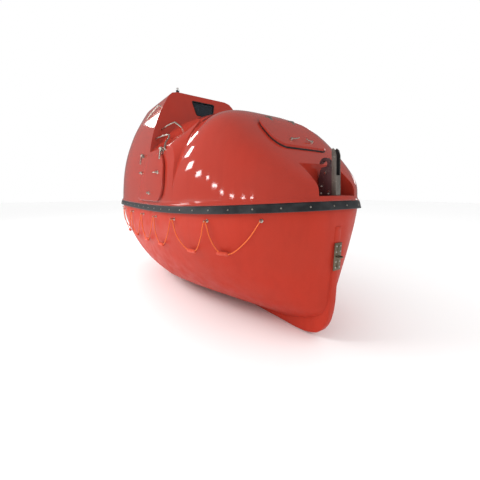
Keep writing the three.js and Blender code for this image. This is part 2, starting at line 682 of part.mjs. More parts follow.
function aftHatchLid() {
  const lid = lidLayer.intersect(topHatchTool(AFT_HATCH, LID_LAP));
  const top = (x) => gunwale(x) + DOME_FOOT + towerHeight(x, 0) + CLEAR + LID_THICK;
  const straps = [-1, 1].map((side) => {
    const y = side * AFT_HINGE.y;
    const at = [AFT_HINGE.x, y, aftHingeZ];
    const middle = [AFT_HINGE.x - 45, y, top(AFT_HINGE.x - 45) + 4];
    const end = [AFT_HINGE.x - 150, y, top(AFT_HINGE.x - 150) - 1];
    return hingeStrap(at, 'y', [at, middle, end], STRAP_THICK);
  });
  const handleX = AFT_HATCH.x - 150;
  const handle = dogHandle([handleX, 0, top(handleX)], [-0.45, 0, 0.89], [0, 1, 0]);
  return join(lid, ...straps, handle);
}

// Handles of the side hatches: place along the boat, height, and which way the lever points
const SIDE_HANDLES = [[480, 1176, -1], [-275, 1206, 1], [140, 903, 1]];

function sideHatchLid(side) {
  const lid = lidLayer.intersect(sideHatchTool(SIDE_HATCH, side, LID_LAP));
  const outside = (x, z) => towerSide(x, z) + CLEAR + LID_THICK;
  const straps = [-1, 1].map((end) => {
    const x = SIDE_HATCH.x + end * SIDE_HINGE.spread;
    const at = [x, side * sideHingeY, SIDE_HINGE.z];
    const low = SIDE_HATCH.z + SIDE_HATCH.tall / 2 - 60;
    return hingeStrap(at, 'x', [at, [x, side * (outside(x, low) + 2), low]], STRAP_THICK);
  });
  const handles = SIDE_HANDLES.map(([x, z, toward]) => {
    return dogHandle([x, side * outside(x, z), z], [0, side, 0.1], [toward, 0, 0]);
  });
  return join(lid, ...straps, ...handles);
}

// Pane in the tower's front face, in the depth of the wall
function frontWindow() {
  const band = cut(canopyForm(PANE_SET_BACK, belowRim), canopyForm(PANE_SET_BACK + PANE_THICK, belowRim));
  return band.intersect(windowTool(FIT));
}

// Lifting hooks: base plate and two cheeks, a slotted guard ahead of them, and the beak between
const HOOK_PIVOT_X = 2320;
const HOOK_PIVOT_Z = RECESS_FLOOR + 250;
const BASE_THICK = 12;
const BASE_HALF = 64;
const CHEEK_INNER = 24;
const CHEEK_OUTER = 32;
const CHEEK_AFT = 2236;
const CHEEK_FORE = 2392;
const PIN = 12;
const PIN_BORE = 12.7;
const BEAK_HALF = 18;
const BEAK_CENTRE = [-20, 92]; // from the pivot
const BEAK_RADIUS = 62;
const BEAK_EYE = 30;

const along = (toward, points) => points.map(([x, z]) => [toward * x, z]);

function acrossRod(toward, x, z, half, radius, sides) {
  return rod([toward * x, -half, z], [toward * x, half, z], radius, sides);
}

function hookCheeks(toward) {
  const low = RECESS_FLOOR + FIT;
  const top = low + BASE_THICK;
  const [near, far] = [CHEEK_AFT - 12, CHEEK_FORE + 54];
  const base = box([Math.min(toward * near, toward * far), Math.max(toward * near, toward * far)],
    [-BASE_HALF, BASE_HALF], [low, top]);
  const outline = [
    [CHEEK_AFT + 6, top - 2],
    [CHEEK_AFT, HOOK_PIVOT_Z - 60],
    [CHEEK_AFT + 22, HOOK_PIVOT_Z + 34],
    [CHEEK_AFT + 60, HOOK_PIVOT_Z + 56],
    [CHEEK_FORE - 20, HOOK_PIVOT_Z + 56],
    [CHEEK_FORE, HOOK_PIVOT_Z + 30],
    [CHEEK_FORE, top - 2],
  ];
  const cheeks = [-1, 1].map((side) => {
    const [y0, y1] = side > 0 ? [CHEEK_INNER, CHEEK_OUTER] : [-CHEEK_OUTER, -CHEEK_INNER];
    return plate(along(toward, outline), 'xz', y0, y1);
  });
  const pin = acrossRod(toward, HOOK_PIVOT_X, HOOK_PIVOT_Z, CHEEK_OUTER + 9, PIN, 16);
  const spacer = acrossRod(toward, HOOK_PIVOT_X + 40, top + 60, CHEEK_OUTER + 7, 9, 10);
  return join(base, ...cheeks, pin, spacer);
}

// Guard: a channel whose web stops below the slot that the beak swings through
function hookGuard(toward) {
  const low = RECESS_FLOOR + 2 * FIT + BASE_THICK;
  const near = CHEEK_FORE + FIT;
  const far = near + 50;
  const high = RECESS_FLOOR + 485;
  const tip = [[far, high - 70], [far - 14, high - 20], [near + 14, high], [near, high - 14]];
  const outline = [[near, low], [far, low], ...tip];
  const flanges = [-1, 1].map((side) => {
    const [y0, y1] = side > 0 ? [BEAK_HALF + 10, BEAK_HALF + 18] : [-BEAK_HALF - 18, -BEAK_HALF - 10];
    return plate(along(toward, outline), 'xz', y0, y1);
  });
  const webTop = HOOK_PIVOT_Z - 26;
  const web = box([Math.min(toward * (far - 8), toward * far), Math.max(toward * (far - 8), toward * far)],
    [-BEAK_HALF - 14, BEAK_HALF + 14], [low, webTop]);
  return join(...flanges, web);
}

function hookBeak(toward) {
  const [cx, cz] = [HOOK_PIVOT_X + BEAK_CENTRE[0], HOOK_PIVOT_Z + BEAK_CENTRE[1]];
  const [px, pz] = [HOOK_PIVOT_X, HOOK_PIVOT_Z];
  const disc = acrossRod(toward, cx, cz, BEAK_HALF, BEAK_RADIUS, 24);
  const boss = acrossRod(toward, px, pz, BEAK_HALF, 34, 20);
  const neck = [[px - 34, pz], [px + 34, pz], [cx + BEAK_RADIUS - 4, cz], [cx - 20, cz - BEAK_EYE - 16]];
  const tail = [[px - 20, pz], [px - 10, pz - 78], [px + 18, pz - 78], [px + 30, pz]];
  const lips = [[cx - 90, cz - 46], [cx - 90, cz - 6]];
  const mouth = [[cx + 6, cz - BEAK_EYE + 2], ...lips, [cx - 22, cz + BEAK_EYE - 18]];
  const flat = (outline) => plate(along(toward, outline), 'xz', -BEAK_HALF, BEAK_HALF);
  const body = join(disc, boss, flat(neck), flat(tail));
  const eye = acrossRod(toward, cx, cz, BEAK_HALF + 5, BEAK_EYE, 20);
  const bore = acrossRod(toward, px, pz, BEAK_HALF + 5, PIN_BORE, 16);
  return cut(body, eye, plate(along(toward, mouth), 'xz', -BEAK_HALF - 5, BEAK_HALF + 5), bore);
}

// Painter plate on the stem, with its eye
const PAINTER_PLATE = { low: 175, high: 440, half: 52 };

function painterPlate() {
  const stemAt = (z) => STEM_PROFILE[1][0] - ((STEM_PROFILE[1][1] - z) * 22) / 280 + 0.6;
  const { low, high } = PAINTER_PLATE;
  const thick = 10;
  const [foot, head] = [stemAt(low), stemAt(high)];
  const outline = [[foot, low], [foot + thick, low], [head + thick, high], [head, high]];
  const middle = (low + high) / 2;
  const root = stemAt(middle) + 6;
  const bend = [[0, -24], [34, -22], [46, 0], [34, 22], [0, 24]];
  const eye = bentTube(bend.map(([out, y]) => [root + out, y, middle]), 8, 10, 4);
  return join(plate(outline, 'xz', -PAINTER_PLATE.half, PAINTER_PLATE.half), eye);
}

// Grab rails: each one is a bar standing off the canopy on its two bent ends
const RAIL_RADIUS = 12;
const RAILS = {
  upper: [[-235, -812, 1880], [-180, -804, 1886], [60, -775, 1916], [215, -745, 1930], [262, -735, 1915],
    [300, -690, 1870], [315, -662, 1842]],
  lower: [[-205, -905, 1725], [-150, -903, 1728], [130, -896, 1724], [350, -888, 1712], [405, -890, 1696],
    [458, -917, 1645], [524, -983, 1565], [590, -1018, 1500], [592, -1012, 1468], [588, -985, 1448]],
  tower: [[-420, -690, 2330], [-440, -745, 2345], [-500, -752, 2340], [-760, -770, 2290], [-930, -785, 2240],
    [-985, -780, 2215], [-1000, -730, 2190]],
};

function grabRail(points, side) {
  const tube = bentTube(points.map(([x, y, z]) => [x, -side * y, z]), RAIL_RADIUS, 20, 4);
  return cut(tube, skinTouch);
}

// Position lamp on the roof's starboard front corner
const LAMP = { x: -400, y: -440, base: 34, baseHigh: 46, lens: 26, lensHigh: 56 };

function lampBase() {
  const { x, y, base, baseHigh } = LAMP;
  return cut(rod([x, y, TOWER_TOP - 20], [x, y, TOWER_TOP + baseHigh], base, 20, base - 8), skinTouch);
}

function lampLens() {
  const { x, y, baseHigh, lens, lensHigh } = LAMP;
  const low = TOWER_TOP + baseHigh + FIT;
  const profile = [[0, 0], [1, 0], [1, 0.6], [0.72, 0.88], [0.3, 1], [0, 1]]; // shares of radius and height
  const half = profile.map(([r, h]) => new THREE.Vector2(r * lens, h * lensHigh));
  const dome = new THREE.LatheGeometry(half, 20);
  return toSolid(dome.rotateX(Math.PI / 2).translate(x, y, low));
}

// Lifeline: bights of rope between the eyes, each with a float at its lowest point
const BIGHT_DROP = 355;
const BIGHT_LOW = [0.76, 0.49, 0.68, 0.64, 0.6, 0.5, 0.5]; // share of each span where the rope is lowest
// A bight's shape: share of its span, share of its drop
const BIGHT_SHAPE = [[0.15, 0.5], [0.38, 0.95], [0.62, 0.97], [0.85, 0.6]];
const FLOAT_RADIUS = 20;
const FLOAT_LONG = 140;
const STEPS_PER_BIGHT = 6;

// A place on the rope's route, off the port skin
function offSkin(x, z, off) {
  const [nx, ny] = eyeNormal(x, z);
  return [x + off * nx, hullBreadth(x, z) + off * ny, z];
}

function lifeline(side) {
  const points = [];
  const floats = [];
  EYE_X.forEach((x, i) => {
    const z = gunwale(x) - EYE_DROP;
    points.push(offSkin(x, z, ROPE_OFF));
    if (i + 1 === EYE_X.length) return;
    const span = EYE_X[i + 1] - x;
    const lowZ = z - BIGHT_DROP;
    const low = BIGHT_LOW[i];
    for (const [share, drop] of BIGHT_SHAPE) {
      const slid = share < 0.5 ? 2 * share * low : low + 2 * (share - 0.5) * (1 - low);
      points.push(offSkin(x + slid * span, z - drop * BIGHT_DROP, ROPE_OFF));
    }
    const half = FLOAT_LONG / 2;
    const middle = x + low * span;
    floats.push([offSkin(middle + half, lowZ, ROPE_OFF), offSkin(middle - half, lowZ, ROPE_OFF)]);
  });
  const onSide = ([x, y, z]) => [x, side * y, z];
  const rope = bentTube(points.map(onSide), ROPE_RADIUS, STEPS_PER_BIGHT * floats.length, 2);
  const whole = join(rope, ...floats.map(([from, to]) => rod(onSide(from), onSide(to), FLOAT_RADIUS, 12)));
  return cut(whole, ...EYE_X.map((x) => eyeStud(x, side, FIT)));
}

// Propeller: a hub on the stern tube's shaft and three blades
const HUB = { fore: -1900, aft: -2010, radius: 42, tip: 24 };
const BLADE = { root: 30, tip: 175, chord: 120, thick: 10, pitch: 0.55, count: 3 };

function propeller() {
  const hub = rod([HUB.fore, 0, STERN_TUBE_Z], [HUB.aft, 0, STERN_TUBE_Z], HUB.radius, 20, HUB.tip);
  const shaft = rod([-1645, 0, STERN_TUBE_Z], [HUB.fore - 20, 0, STERN_TUBE_Z], SHAFT_RADIUS, 20);
  const blades = Array.from({ length: BLADE.count }, (_, i) => {
    const outline = new THREE.Shape();
    outline.moveTo(-BLADE.chord * 0.22, BLADE.root);
    outline.lineTo(BLADE.chord * 0.22, BLADE.root);
    outline.quadraticCurveTo(BLADE.chord * 0.62, BLADE.tip * 0.62, BLADE.chord * 0.3, BLADE.tip * 0.93);
    outline.quadraticCurveTo(0, BLADE.tip * 1.05, -BLADE.chord * 0.3, BLADE.tip * 0.93);
    outline.quadraticCurveTo(-BLADE.chord * 0.62, BLADE.tip * 0.62, -BLADE.chord * 0.22, BLADE.root);
    const options = { depth: BLADE.thick, bevelEnabled: false, curveSegments: 4 };
    const blade = new THREE.ExtrudeGeometry(outline, options).translate(0, 0, -BLADE.thick / 2);
    blade.rotateY(Math.PI / 2 - BLADE.pitch).rotateX(Math.PI / 2 + (2 * Math.PI * i) / BLADE.count);
    return toSolid(blade.translate((HUB.fore + HUB.aft) / 2, 0, STERN_TUBE_Z));
  });
  return join(hub, shaft, ...blades);
}

const GUARD = { inner: 195, outer: 213, fore: -1905, aft: -2015 };

function propellerGuard() {
  const ring = new THREE.Shape().absarc(0, STERN_TUBE_Z, GUARD.outer, 0, 2 * Math.PI);
  ring.holes.push(new THREE.Path().absarc(0, STERN_TUBE_Z, GUARD.inner, 0, 2 * Math.PI, true));
  const options = { depth: GUARD.fore - GUARD.aft, bevelEnabled: false, curveSegments: 18 };
  const [right, up, ahead] = [[0, 1, 0], [0, 0, 1], [1, 0, 0]].map((axis) => new THREE.Vector3(...axis));
  const basis = new THREE.Matrix4().makeBasis(right, up, ahead);
  const geometry = new THREE.ExtrudeGeometry(ring, options).applyMatrix4(basis);
  const hoop = toSolid(geometry.translate(GUARD.aft, 0, 0));
  const footTop = STERN_TUBE_Z - GUARD.outer + 8;
  const foot = box([GUARD.aft + 10, GUARD.fore - 10], [-24, 24], [HEEL_TOP + FIT, footTop]);
  return join(hoop, foot);
}

// Rudder: a blade on its stock, whose pintle turns in the heel
const RUDDER = { fore: -2130, aft: -2440, low: -495, high: 60, half: 15 };

function rudder() {
  const outline = [
    [RUDDER.fore, RUDDER.low + 20],
    [RUDDER.fore - 20, RUDDER.low],
    [RUDDER.aft + 60, RUDDER.low],
    [RUDDER.aft, RUDDER.low + 70],
    [RUDDER.aft + 30, RUDDER.high - 60],
    [RUDDER.aft + 90, RUDDER.high],
    [RUDDER.fore, RUDDER.high],
  ];
  const blade = plate(outline, 'xz', -RUDDER.half, RUDDER.half, 5);
  const stock = rod([RUDDER_X, 0, RUDDER.low + 200], [RUDDER_X, 0, 396], STOCK_RADIUS, 20);
  const pintle = rod([RUDDER_X, 0, KEEL_Z + 17], [RUDDER_X, 0, RUDDER.low + 60], 12, 16);
  return join(blade, stock, pintle);
}

// Inside: floor, benches, engine, and the helmsman's place under the tower
function insideForm() {
  return throughRings(insideRings(HULL_WALL + 1));
}

const ENGINE = { x: [-1350, -750], y: [-250, 250], z: [FLOOR_TOP + FIT, 350] };
const SEAT = { x: -1010, low: ENGINE.z[1] + FIT, pan: 1480, half: 200 };
const CONSOLE = { x: [-620, -450], half: 220, low: 1300, high: 1700 };
const WHEEL = { x: CONSOLE.x[0] - 0.5, z: 1560, radius: 150, bar: 11 };

function cabinFloor() {
  return insideForm().intersect(box([-1500, 1600], [-1100, 1100], [FLOOR_TOP - FLOOR_THICK, FLOOR_TOP]));
}

function bench(side) {
  const [y0, y1] = side > 0 ? [500, 1100] : [-1100, -500];
  return insideForm().intersect(box([-1150, 1350], [y0, y1], [FLOOR_TOP + FIT, 300]));
}

function helmSeat() {
  const { x, low, pan, half } = SEAT;
  const foot = rod([x, 0, low], [x, 0, low + 12], 120, 20);
  const post = rod([x, 0, low + 6], [x, 0, pan + 20], 45, 16);
  const cushion = box([x - half, x + half], [-half, half], [pan, pan + 80]);
  const back = box([x - half, x - half + 60], [-half, half], [pan + 40, pan + 480]);
  return join(foot, post, cushion, back);
}

function helmConsole() {
  const { x: [aft, fore], half, low, high } = CONSOLE;
  const body = plate([[aft, low], [fore, low], [fore, high + 40], [aft, high]], 'xz', -half, half, 10);
  const middle = (aft + fore) / 2;
  const legs = [-1, 1].map((side) => {
    return rod([middle, side * 150, FLOOR_TOP + FIT], [middle, side * 150, low + 20], 22, 12);
  });
  return join(body, ...legs);
}

function helmWheel() {
  const { x, z, radius, bar } = WHEEL;
  const rim = new THREE.TorusGeometry(radius, bar, 6, 24).rotateY(Math.PI / 2).translate(x - 60, 0, z);
  const hub = rod([x, 0, z], [x - 70, 0, z], 34, 16, 28);
  const spokes = [0, 1, 2].map((i) => {
    const angle = Math.PI / 2 + (2 * Math.PI * i) / 3;
    return rod([x - 60, 0, z], [x - 60, radius * Math.cos(angle), z + radius * Math.sin(angle)], 8, 8);
  });
  return join(toSolid(rim), hub, ...spokes);
}

// The canopy's outside, drawn out by the gap that a fitting keeps to it
const skinTouch = canopyForm(-0.5, belowRim);

addPart('hull_shell', hullShell(), ORANGE);
addPart('rubbing_strake', ringAlong(hullRing(0), STRAKE_SECTION), RUBBER);
addPart('canopy_shell', canopyShell(), ORANGE);
addPart('front_window', frontWindow(), GLASS);
addPart('bow_hatch_lid', bowHatchLid(), ORANGE);
addPart('aft_hatch_lid', aftHatchLid(), ORANGE);
addPart('painter_plate', painterPlate(), STEEL);
addPart('lamp_base', lampBase(), RUBBER);
addPart('lamp_lens', lampLens(), PALE);
for (const [end, toward] of [['fore', 1], ['aft', -1]]) {
  addPart(`${end}_hook_cheeks`, hookCheeks(toward), BROWN);
  addPart(`${end}_hook_guard`, hookGuard(toward), STEEL);
  addPart(`${end}_hook_beak`, hookBeak(toward), BROWN);
}
for (const [name, side] of [['starboard', -1], ['port', 1]]) {
  addPart(`side_hatch_lid_${name}`, sideHatchLid(side), ORANGE);
  addPart(`lifeline_${name}`, lifeline(side), ROPE);
  addPart(`bench_${name}`, bench(side), PALE);
  for (const [place, points] of Object.entries(RAILS)) {
    addPart(`${place}_rail_${name}`, grabRail(points, side), STEEL);
  }
}
addPart('propeller', propeller(), BRONZE);
addPart('propeller_guard', propellerGuard(), ORANGE);
addPart('rudder', rudder(), ORANGE);
addPart('cabin_floor', cabinFloor(), PALE);
addPart('engine_block', toGeometry(box(ENGINE.x, ENGINE.y, ENGINE.z)), GREY);
addPart('helm_seat', helmSeat(), RUBBER);
addPart('helm_console', helmConsole(), GREY);
addPart('helm_wheel', helmWheel(), RUBBER);

export default boat;
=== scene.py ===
import math

import bmesh
import bpy
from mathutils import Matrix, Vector


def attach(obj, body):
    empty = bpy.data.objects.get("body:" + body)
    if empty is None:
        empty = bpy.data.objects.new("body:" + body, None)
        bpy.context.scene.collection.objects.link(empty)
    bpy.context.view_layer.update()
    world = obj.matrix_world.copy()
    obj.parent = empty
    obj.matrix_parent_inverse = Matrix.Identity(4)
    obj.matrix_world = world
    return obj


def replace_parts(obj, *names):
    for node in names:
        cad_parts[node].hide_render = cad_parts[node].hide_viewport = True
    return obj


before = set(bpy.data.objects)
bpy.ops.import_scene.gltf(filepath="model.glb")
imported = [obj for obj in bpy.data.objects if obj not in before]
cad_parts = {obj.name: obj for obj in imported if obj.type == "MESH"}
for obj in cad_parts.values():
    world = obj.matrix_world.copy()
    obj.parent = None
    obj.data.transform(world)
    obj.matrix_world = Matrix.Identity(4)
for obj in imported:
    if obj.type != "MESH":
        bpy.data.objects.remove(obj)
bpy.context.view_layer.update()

# Sizes of the boat in metres, the same as the solids'. +X is the bow, +Y port, +Z up.
HALF_LENGTH = 2.5
HALF_BREADTH = 1.1
GUNWALE_Z = 0.66
KEEL_Z = -0.56
SKIN_DEPTH = 1.174
SHEER_FORE = 0.106
SHEER_AFT = 0.03
STRAKE_PROUD = 0.038
SKIN_LENGTH = HALF_LENGTH - STRAKE_PROUD
SKIN_BREADTH = HALF_BREADTH - STRAKE_PROUD
HULL_WALL = 0.04
CANOPY_WALL = 0.034
FLANGE_HEIGHT = 0.038
FIT = 0.0003
CLEAR = 0.005
BOW_FULLNESS = 2.66
BOW_FINING = {"amount": 1.63, "power": 1.2}  # how the plan at the bow sharpens towards the keel
STERN_FULLNESS = 5.2
PORT, STARBOARD = 1, -1
SIDES = ((STARBOARD, "starboard"), (PORT, "port"))
ENDS = ((1, "fore"), (-1, "aft"))

# Camera fitted to the photograph: place, heading from +X, and lens as a share of the frame's width
CAMERA_PLACE = (3.986, -2.230, 0.931)
CAMERA_HEADING = 144.765
CAMERA_PITCH = -0.44
FRAME_SIZE = 480
FOCAL_PIXELS = 269.0
HORIZON_ROW = 192.95
SENSOR = 36.0


# Mesh helpers

def ordered(way, low, high):
    """A range along an axis, mirrored if way is -1."""
    return tuple(sorted((way * low, way * high)))


def link(piece):
    bpy.context.scene.collection.objects.link(piece)
    return piece


def shade(piece, angle=32):
    piece.data.shade_smooth()
    piece.data.set_sharp_from_angle(angle=math.radians(angle))
    return piece


def solid(name, vertices, faces, look=None, angle=32):
    """A closed mesh with its faces turned outwards."""
    mesh = bpy.data.meshes.new(name)
    mesh.from_pydata([tuple(v) for v in vertices], [], faces)
    work = bmesh.new()
    work.from_mesh(mesh)
    bmesh.ops.recalc_face_normals(work, faces=work.faces)
    work.to_mesh(mesh)
    work.free()
    piece = link(bpy.data.objects.new(name, mesh))
    if look:
        mesh.materials.append(look)
    return shade(piece, angle)


def settle(piece):
    """Applies the piece's modifiers."""
    graph = bpy.context.evaluated_depsgraph_get()
    mesh = bpy.data.meshes.new_from_object(piece.evaluated_get(graph))
    piece.modifiers.clear()
    piece.data = mesh
    return piece


def discard(*pieces):
    for piece in pieces:
        bpy.data.objects.remove(piece, do_unlink=True)


def copy_of(piece):
    twin = piece.copy()
    twin.data = piece.data.copy()
    return link(twin)


def combine(piece, operation, *tools, keep=False):
    for tool in tools:
        modifier = piece.modifiers.new("combine", "BOOLEAN")
        modifier.operation = operation
        modifier.solver = "MANIFOLD"
        modifier.object = tool
        settle(piece)
    if not keep:
        discard(*tools)
    return piece


def cut(piece, *tools, keep=False):
    return combine(piece, "DIFFERENCE", *tools, keep=keep)


def unite(piece, *tools):
    return combine(piece, "UNION", *tools)


def overlap(piece, *tools, keep=False):
    return combine(piece, "INTERSECT", *tools, keep=keep)


def rounded(piece, width, segments=2, angle=32):
    modifier = piece.modifiers.new("edge", "BEVEL")
    modifier.width = width
    modifier.segments = segments
    modifier.limit_method = "ANGLE"
    modifier.angle_limit = math.radians(angle)
    settle(piece)
    return shade(piece, angle)


def merge(name, parts):
    """Joins the parts' meshes into one piece, each with its own look."""
    parts = list(parts)
    first = parts[0]
    with bpy.context.temp_override(active_object=first, object=first, selected_editable_objects=parts):
        bpy.ops.object.join()
    first.name = name
    first.data.name = name
    return first


def dress(piece, look):
    piece.data.materials.clear()
    piece.data.materials.append(look)
    for face in piece.data.polygons:
        face.material_index = 0
    return piece


def loft(name, rings, look=None, closed=False, angle=32):
    """A surface through rings of equally many points, capped at its ends unless it closes on itself."""
    count = len(rings[0])
    vertices = [point for ring in rings for point in ring]
    faces = []
    last = len(rings) if closed else len(rings) - 1
    for level in range(last):
        low, high = level * count, ((level + 1) % len(rings)) * count
        for i in range(count):
            following = (i + 1) % count
            faces.append((low + i, low + following, high + following, high + i))
    if not closed:
        faces.append(tuple(range(count)))
        faces.append(tuple(range(len(vertices) - count, len(vertices))))
    return solid(name, vertices, faces, look, angle)


def slab(name, outline, plane, low, high, look=None, edge=0.0):
    """A plate drawn in two axes, whose thickness runs along the third from low to high."""
    place = {
        "xz": lambda u, v, w: (u, w, v),
        "yz": lambda u, v, w: (w, u, v),
        "xy": lambda u, v, w: (u, v, w),
    }[plane]
    rings = [[place(u, v, w) for u, v in outline] for w in (low, high)]
    piece = loft(name, rings, look)
    return rounded(piece, edge) if edge else piece


def block(name, x, y, z, look=None, edge=0.004):
    outline = [(x[0], z[0]), (x[1], z[0]), (x[1], z[1]), (x[0], z[1])]
    return slab(name, outline, "xz", y[0], y[1], look, edge)


def rounded_rectangle(u, v, width, height, radius, steps=10):
    points = []
    corners = ((1, -1, -90), (1, 1, 0), (-1, 1, 90), (-1, -1, 180))
    for right, up, start in corners:
        for i in range(steps + 1):
            angle = math.radians(start + 90 * i / steps)
            cu = u + right * (width / 2 - radius)
            cv = v + up * (height / 2 - radius)
            points.append((cu + radius * math.cos(angle), cv + radius * math.sin(angle)))
    return points


def smooth_path(points, steps):
    """A smooth line through the points, with that many steps between each two."""
    points = [Vector(p) for p in points]
    line = []
    for i in range(len(points) - 1):
        before = points[i - 1] if i else 2 * points[0] - points[1]
        after = points[i + 2] if i + 2 < len(points) else 2 * points[-1] - points[-2]
        a, b = points[i], points[i + 1]
        for k in range(steps):
            t = k / steps
            line.append(0.5 * (2 * a + (b - before) * t + (2 * before - 5 * a + 4 * b - after) * t ** 2
                               + (3 * a - before - 3 * b + after) * t ** 3))
    return line + [points[-1]]


def carried_frames(line, closed=False):
    """A direction across the line at each of its points, carried along without twist."""
    across = None
    frames = []
    count = len(line)
    for i, point in enumerate(line):
        if closed:
            along = line[(i + 1) % count] - line[i - 1]
        else:
            along = line[min(i + 1, count - 1)] - line[max(i - 1, 0)]
        along = along.normalized()
        if across is None:
            across = along.orthogonal().normalized()
        across = (across - along * across.dot(along)).normalized()
        frames.append((point, across, along.cross(across)))
    return frames


def turns(count):
    """The angles of a full turn in equal steps."""
    return [2 * math.pi * k / count for k in range(count)]


def tube(name, line, radius, look=None, sides=12, closed=False):
    """A round bar along a line; radius is a number or a rule of the share along it."""
    line = [Vector(p) for p in line]
    rings = []
    for i, (point, u, v) in enumerate(carried_frames(line, closed)):
        size = radius(i / (len(line) - 1)) if callable(radius) else radius
        rings.append([point + size * (math.cos(a) * u + math.sin(a) * v) for a in turns(sides)])
    return loft(name, rings, look, closed, angle=40)


def rod(name, start, end, radius, look=None, sides=20, end_radius=None, edge=0.0):
    start, end = Vector(start), Vector(end)
    far = radius if end_radius is None else end_radius
    piece = tube(name, [start, end], lambda share: radius + (far - radius) * share, look, sides)
    return rounded(piece, edge) if edge else piece


def turned(name, profile, start, axis, look=None, sides=24):
    """A turned form: profile lists (radius, distance along the axis), from one end to the other."""
    start, axis = Vector(start), Vector(axis).normalized()
    u = axis.orthogonal().normalized()
    v = axis.cross(u)
    rings = []
    for radius, distance in profile:
        middle = start + axis * distance
        rings.append([middle + radius * (math.cos(a) * u + math.sin(a) * v) for a in turns(sides)])
    return loft(name, rings, look)


# Looks

class Recipe:
    """One material's nodes, added one after another."""

    def __init__(self, name):
        self.material = bpy.data.materials.new(name)
        self.material.use_nodes = True
        self.tree = self.material.node_tree
        self.shader = self.tree.nodes["Principled BSDF"]
        self.place = self.node("ShaderNodeTexCoord").outputs["Object"]

    def node(self, kind, inputs=(), **settings):
        """A new node; each input is another node's output or a plain value."""
        node = self.tree.nodes.new(kind)
        for key, value in settings.items():
            setattr(node, key, value)
        for socket, value in inputs:
            self.feed(node.inputs[socket], value)
        return node

    def feed(self, socket, value):
        if hasattr(value, "is_linked"):
            self.tree.links.new(value, socket)
        else:
            socket.default_value = value

    def stretched(self, scale):
        return self.node("ShaderNodeMapping", (("Vector", self.place), ("Scale", scale))).outputs[0]

    def noise(self, scale, detail=4.0, roughness=0.55, place=None):
        inputs = (("Vector", place or self.place), ("Scale", scale), ("Detail", detail),
                  ("Roughness", roughness))
        return self.node("ShaderNodeTexNoise", inputs).outputs["Fac"]

    def band(self, value, low, high, start=0.0, end=1.0):
        """value from low to high becomes start to end."""
        inputs = (("Value", value), ("From Min", low), ("From Max", high), ("To Min", start),
                  ("To Max", end))
        return self.node("ShaderNodeMapRange", inputs).outputs[0]

    def math(self, operation, a, b):
        return self.node("ShaderNodeMath", ((0, a), (1, b)), operation=operation).outputs[0]

    def blend(self, factor, a, b):
        inputs = (("Factor", factor), (6, a), (7, b))
        return self.node("ShaderNodeMix", inputs, data_type="RGBA").outputs[2]

    def bump(self, height, strength, distance, onto=None):
        inputs = [("Height", height), ("Strength", strength), ("Distance", distance)]
        if onto:
            inputs.append(("Normal", onto))
        return self.node("ShaderNodeBump", inputs).outputs[0]

    def soft_edges(self, radius):
        return self.node("ShaderNodeBevel", (("Radius", radius),), samples=6).outputs[0]

    def set(self, **values):
        for key, value in values.items():
            self.feed(self.shader.inputs[key.replace("_", " ")], value)
        return self.material


def colour(red, green, blue):
    """Linear colour from 0 to 255 display values."""
    def linear(value):
        share = value / 255
        return share / 12.92 if share <= 0.04045 else ((share + 0.055) / 1.055) ** 2.4
    return (linear(red), linear(green), linear(blue), 1.0)


def gelcoat(name, fresh, faded, gloss, waviness, shine, coat):
    """Moulded glass-fibre with a coloured surface coat, a little faded and stained."""
    look = Recipe(name)
    patches = look.band(look.noise(1.1, 5.0), 0.35, 0.7)
    grain = look.band(look.noise(60.0, 8.0, 0.7), 0.3, 0.75)
    base = look.blend(patches, fresh, faded)
    dull = look.blend(look.math("MULTIPLY", grain, 0.10), base, colour(112, 30, 20))
    streaks = look.noise(2.2, 6.0, 0.6, look.stretched((5.0, 5.0, 0.35)))
    stained = look.blend(look.band(streaks, 0.45, 0.95, 0.0, 0.2), dull, colour(128, 34, 24))
    edges = look.soft_edges(0.009)
    waves = look.bump(look.noise(2.4, 1.0, 0.4), waviness, 0.02, edges)
    pores = look.bump(look.noise(260.0, 3.0), 0.03, 0.0006, waves)
    rough = look.band(look.noise(7.0, 6.0), 0.3, 0.7, gloss * 0.8, gloss * 1.3)
    return look.set(Base_Color=stained, Roughness=rough, Normal=pores, Specular_IOR_Level=shine,
                    Coat_Weight=coat, Coat_Roughness=0.06)


def rubber():
    look = Recipe("strake_rubber")
    grime = look.band(look.noise(6.0, 8.0, 0.7), 0.42, 0.75)
    base = look.blend(grime, colour(24, 26, 29), colour(56, 58, 60))
    scuffs = look.band(look.noise(30.0, 6.0, 0.7, look.stretched((1.0, 1.0, 6.0))), 0.6, 0.8, 0.0, 0.4)
    base = look.blend(scuffs, base, colour(84, 84, 84))
    bump = look.bump(look.noise(140.0, 5.0), 0.12, 0.0015, look.soft_edges(0.004))
    rough = look.band(grime, 0.0, 1.0, 0.38, 0.62)
    return look.set(Base_Color=base, Roughness=rough, Normal=bump)


def steel(name, tint, rough_low, rough_high, brush):
    look = Recipe(name)
    lines = look.noise(9.0, 6.0, 0.7, look.stretched(brush))
    smudges = look.band(look.noise(14.0, 5.0, 0.6), 0.4, 0.72)
    base = look.blend(smudges, tint, tuple(0.72 * c for c in tint[:3]) + (1.0,))
    bump = look.bump(lines, 0.1, 0.0006, look.soft_edges(0.0015))
    rough = look.band(lines, 0.25, 0.75, rough_low, rough_high)
    return look.set(Base_Color=base, Metallic=1.0, Roughness=rough, Normal=bump)


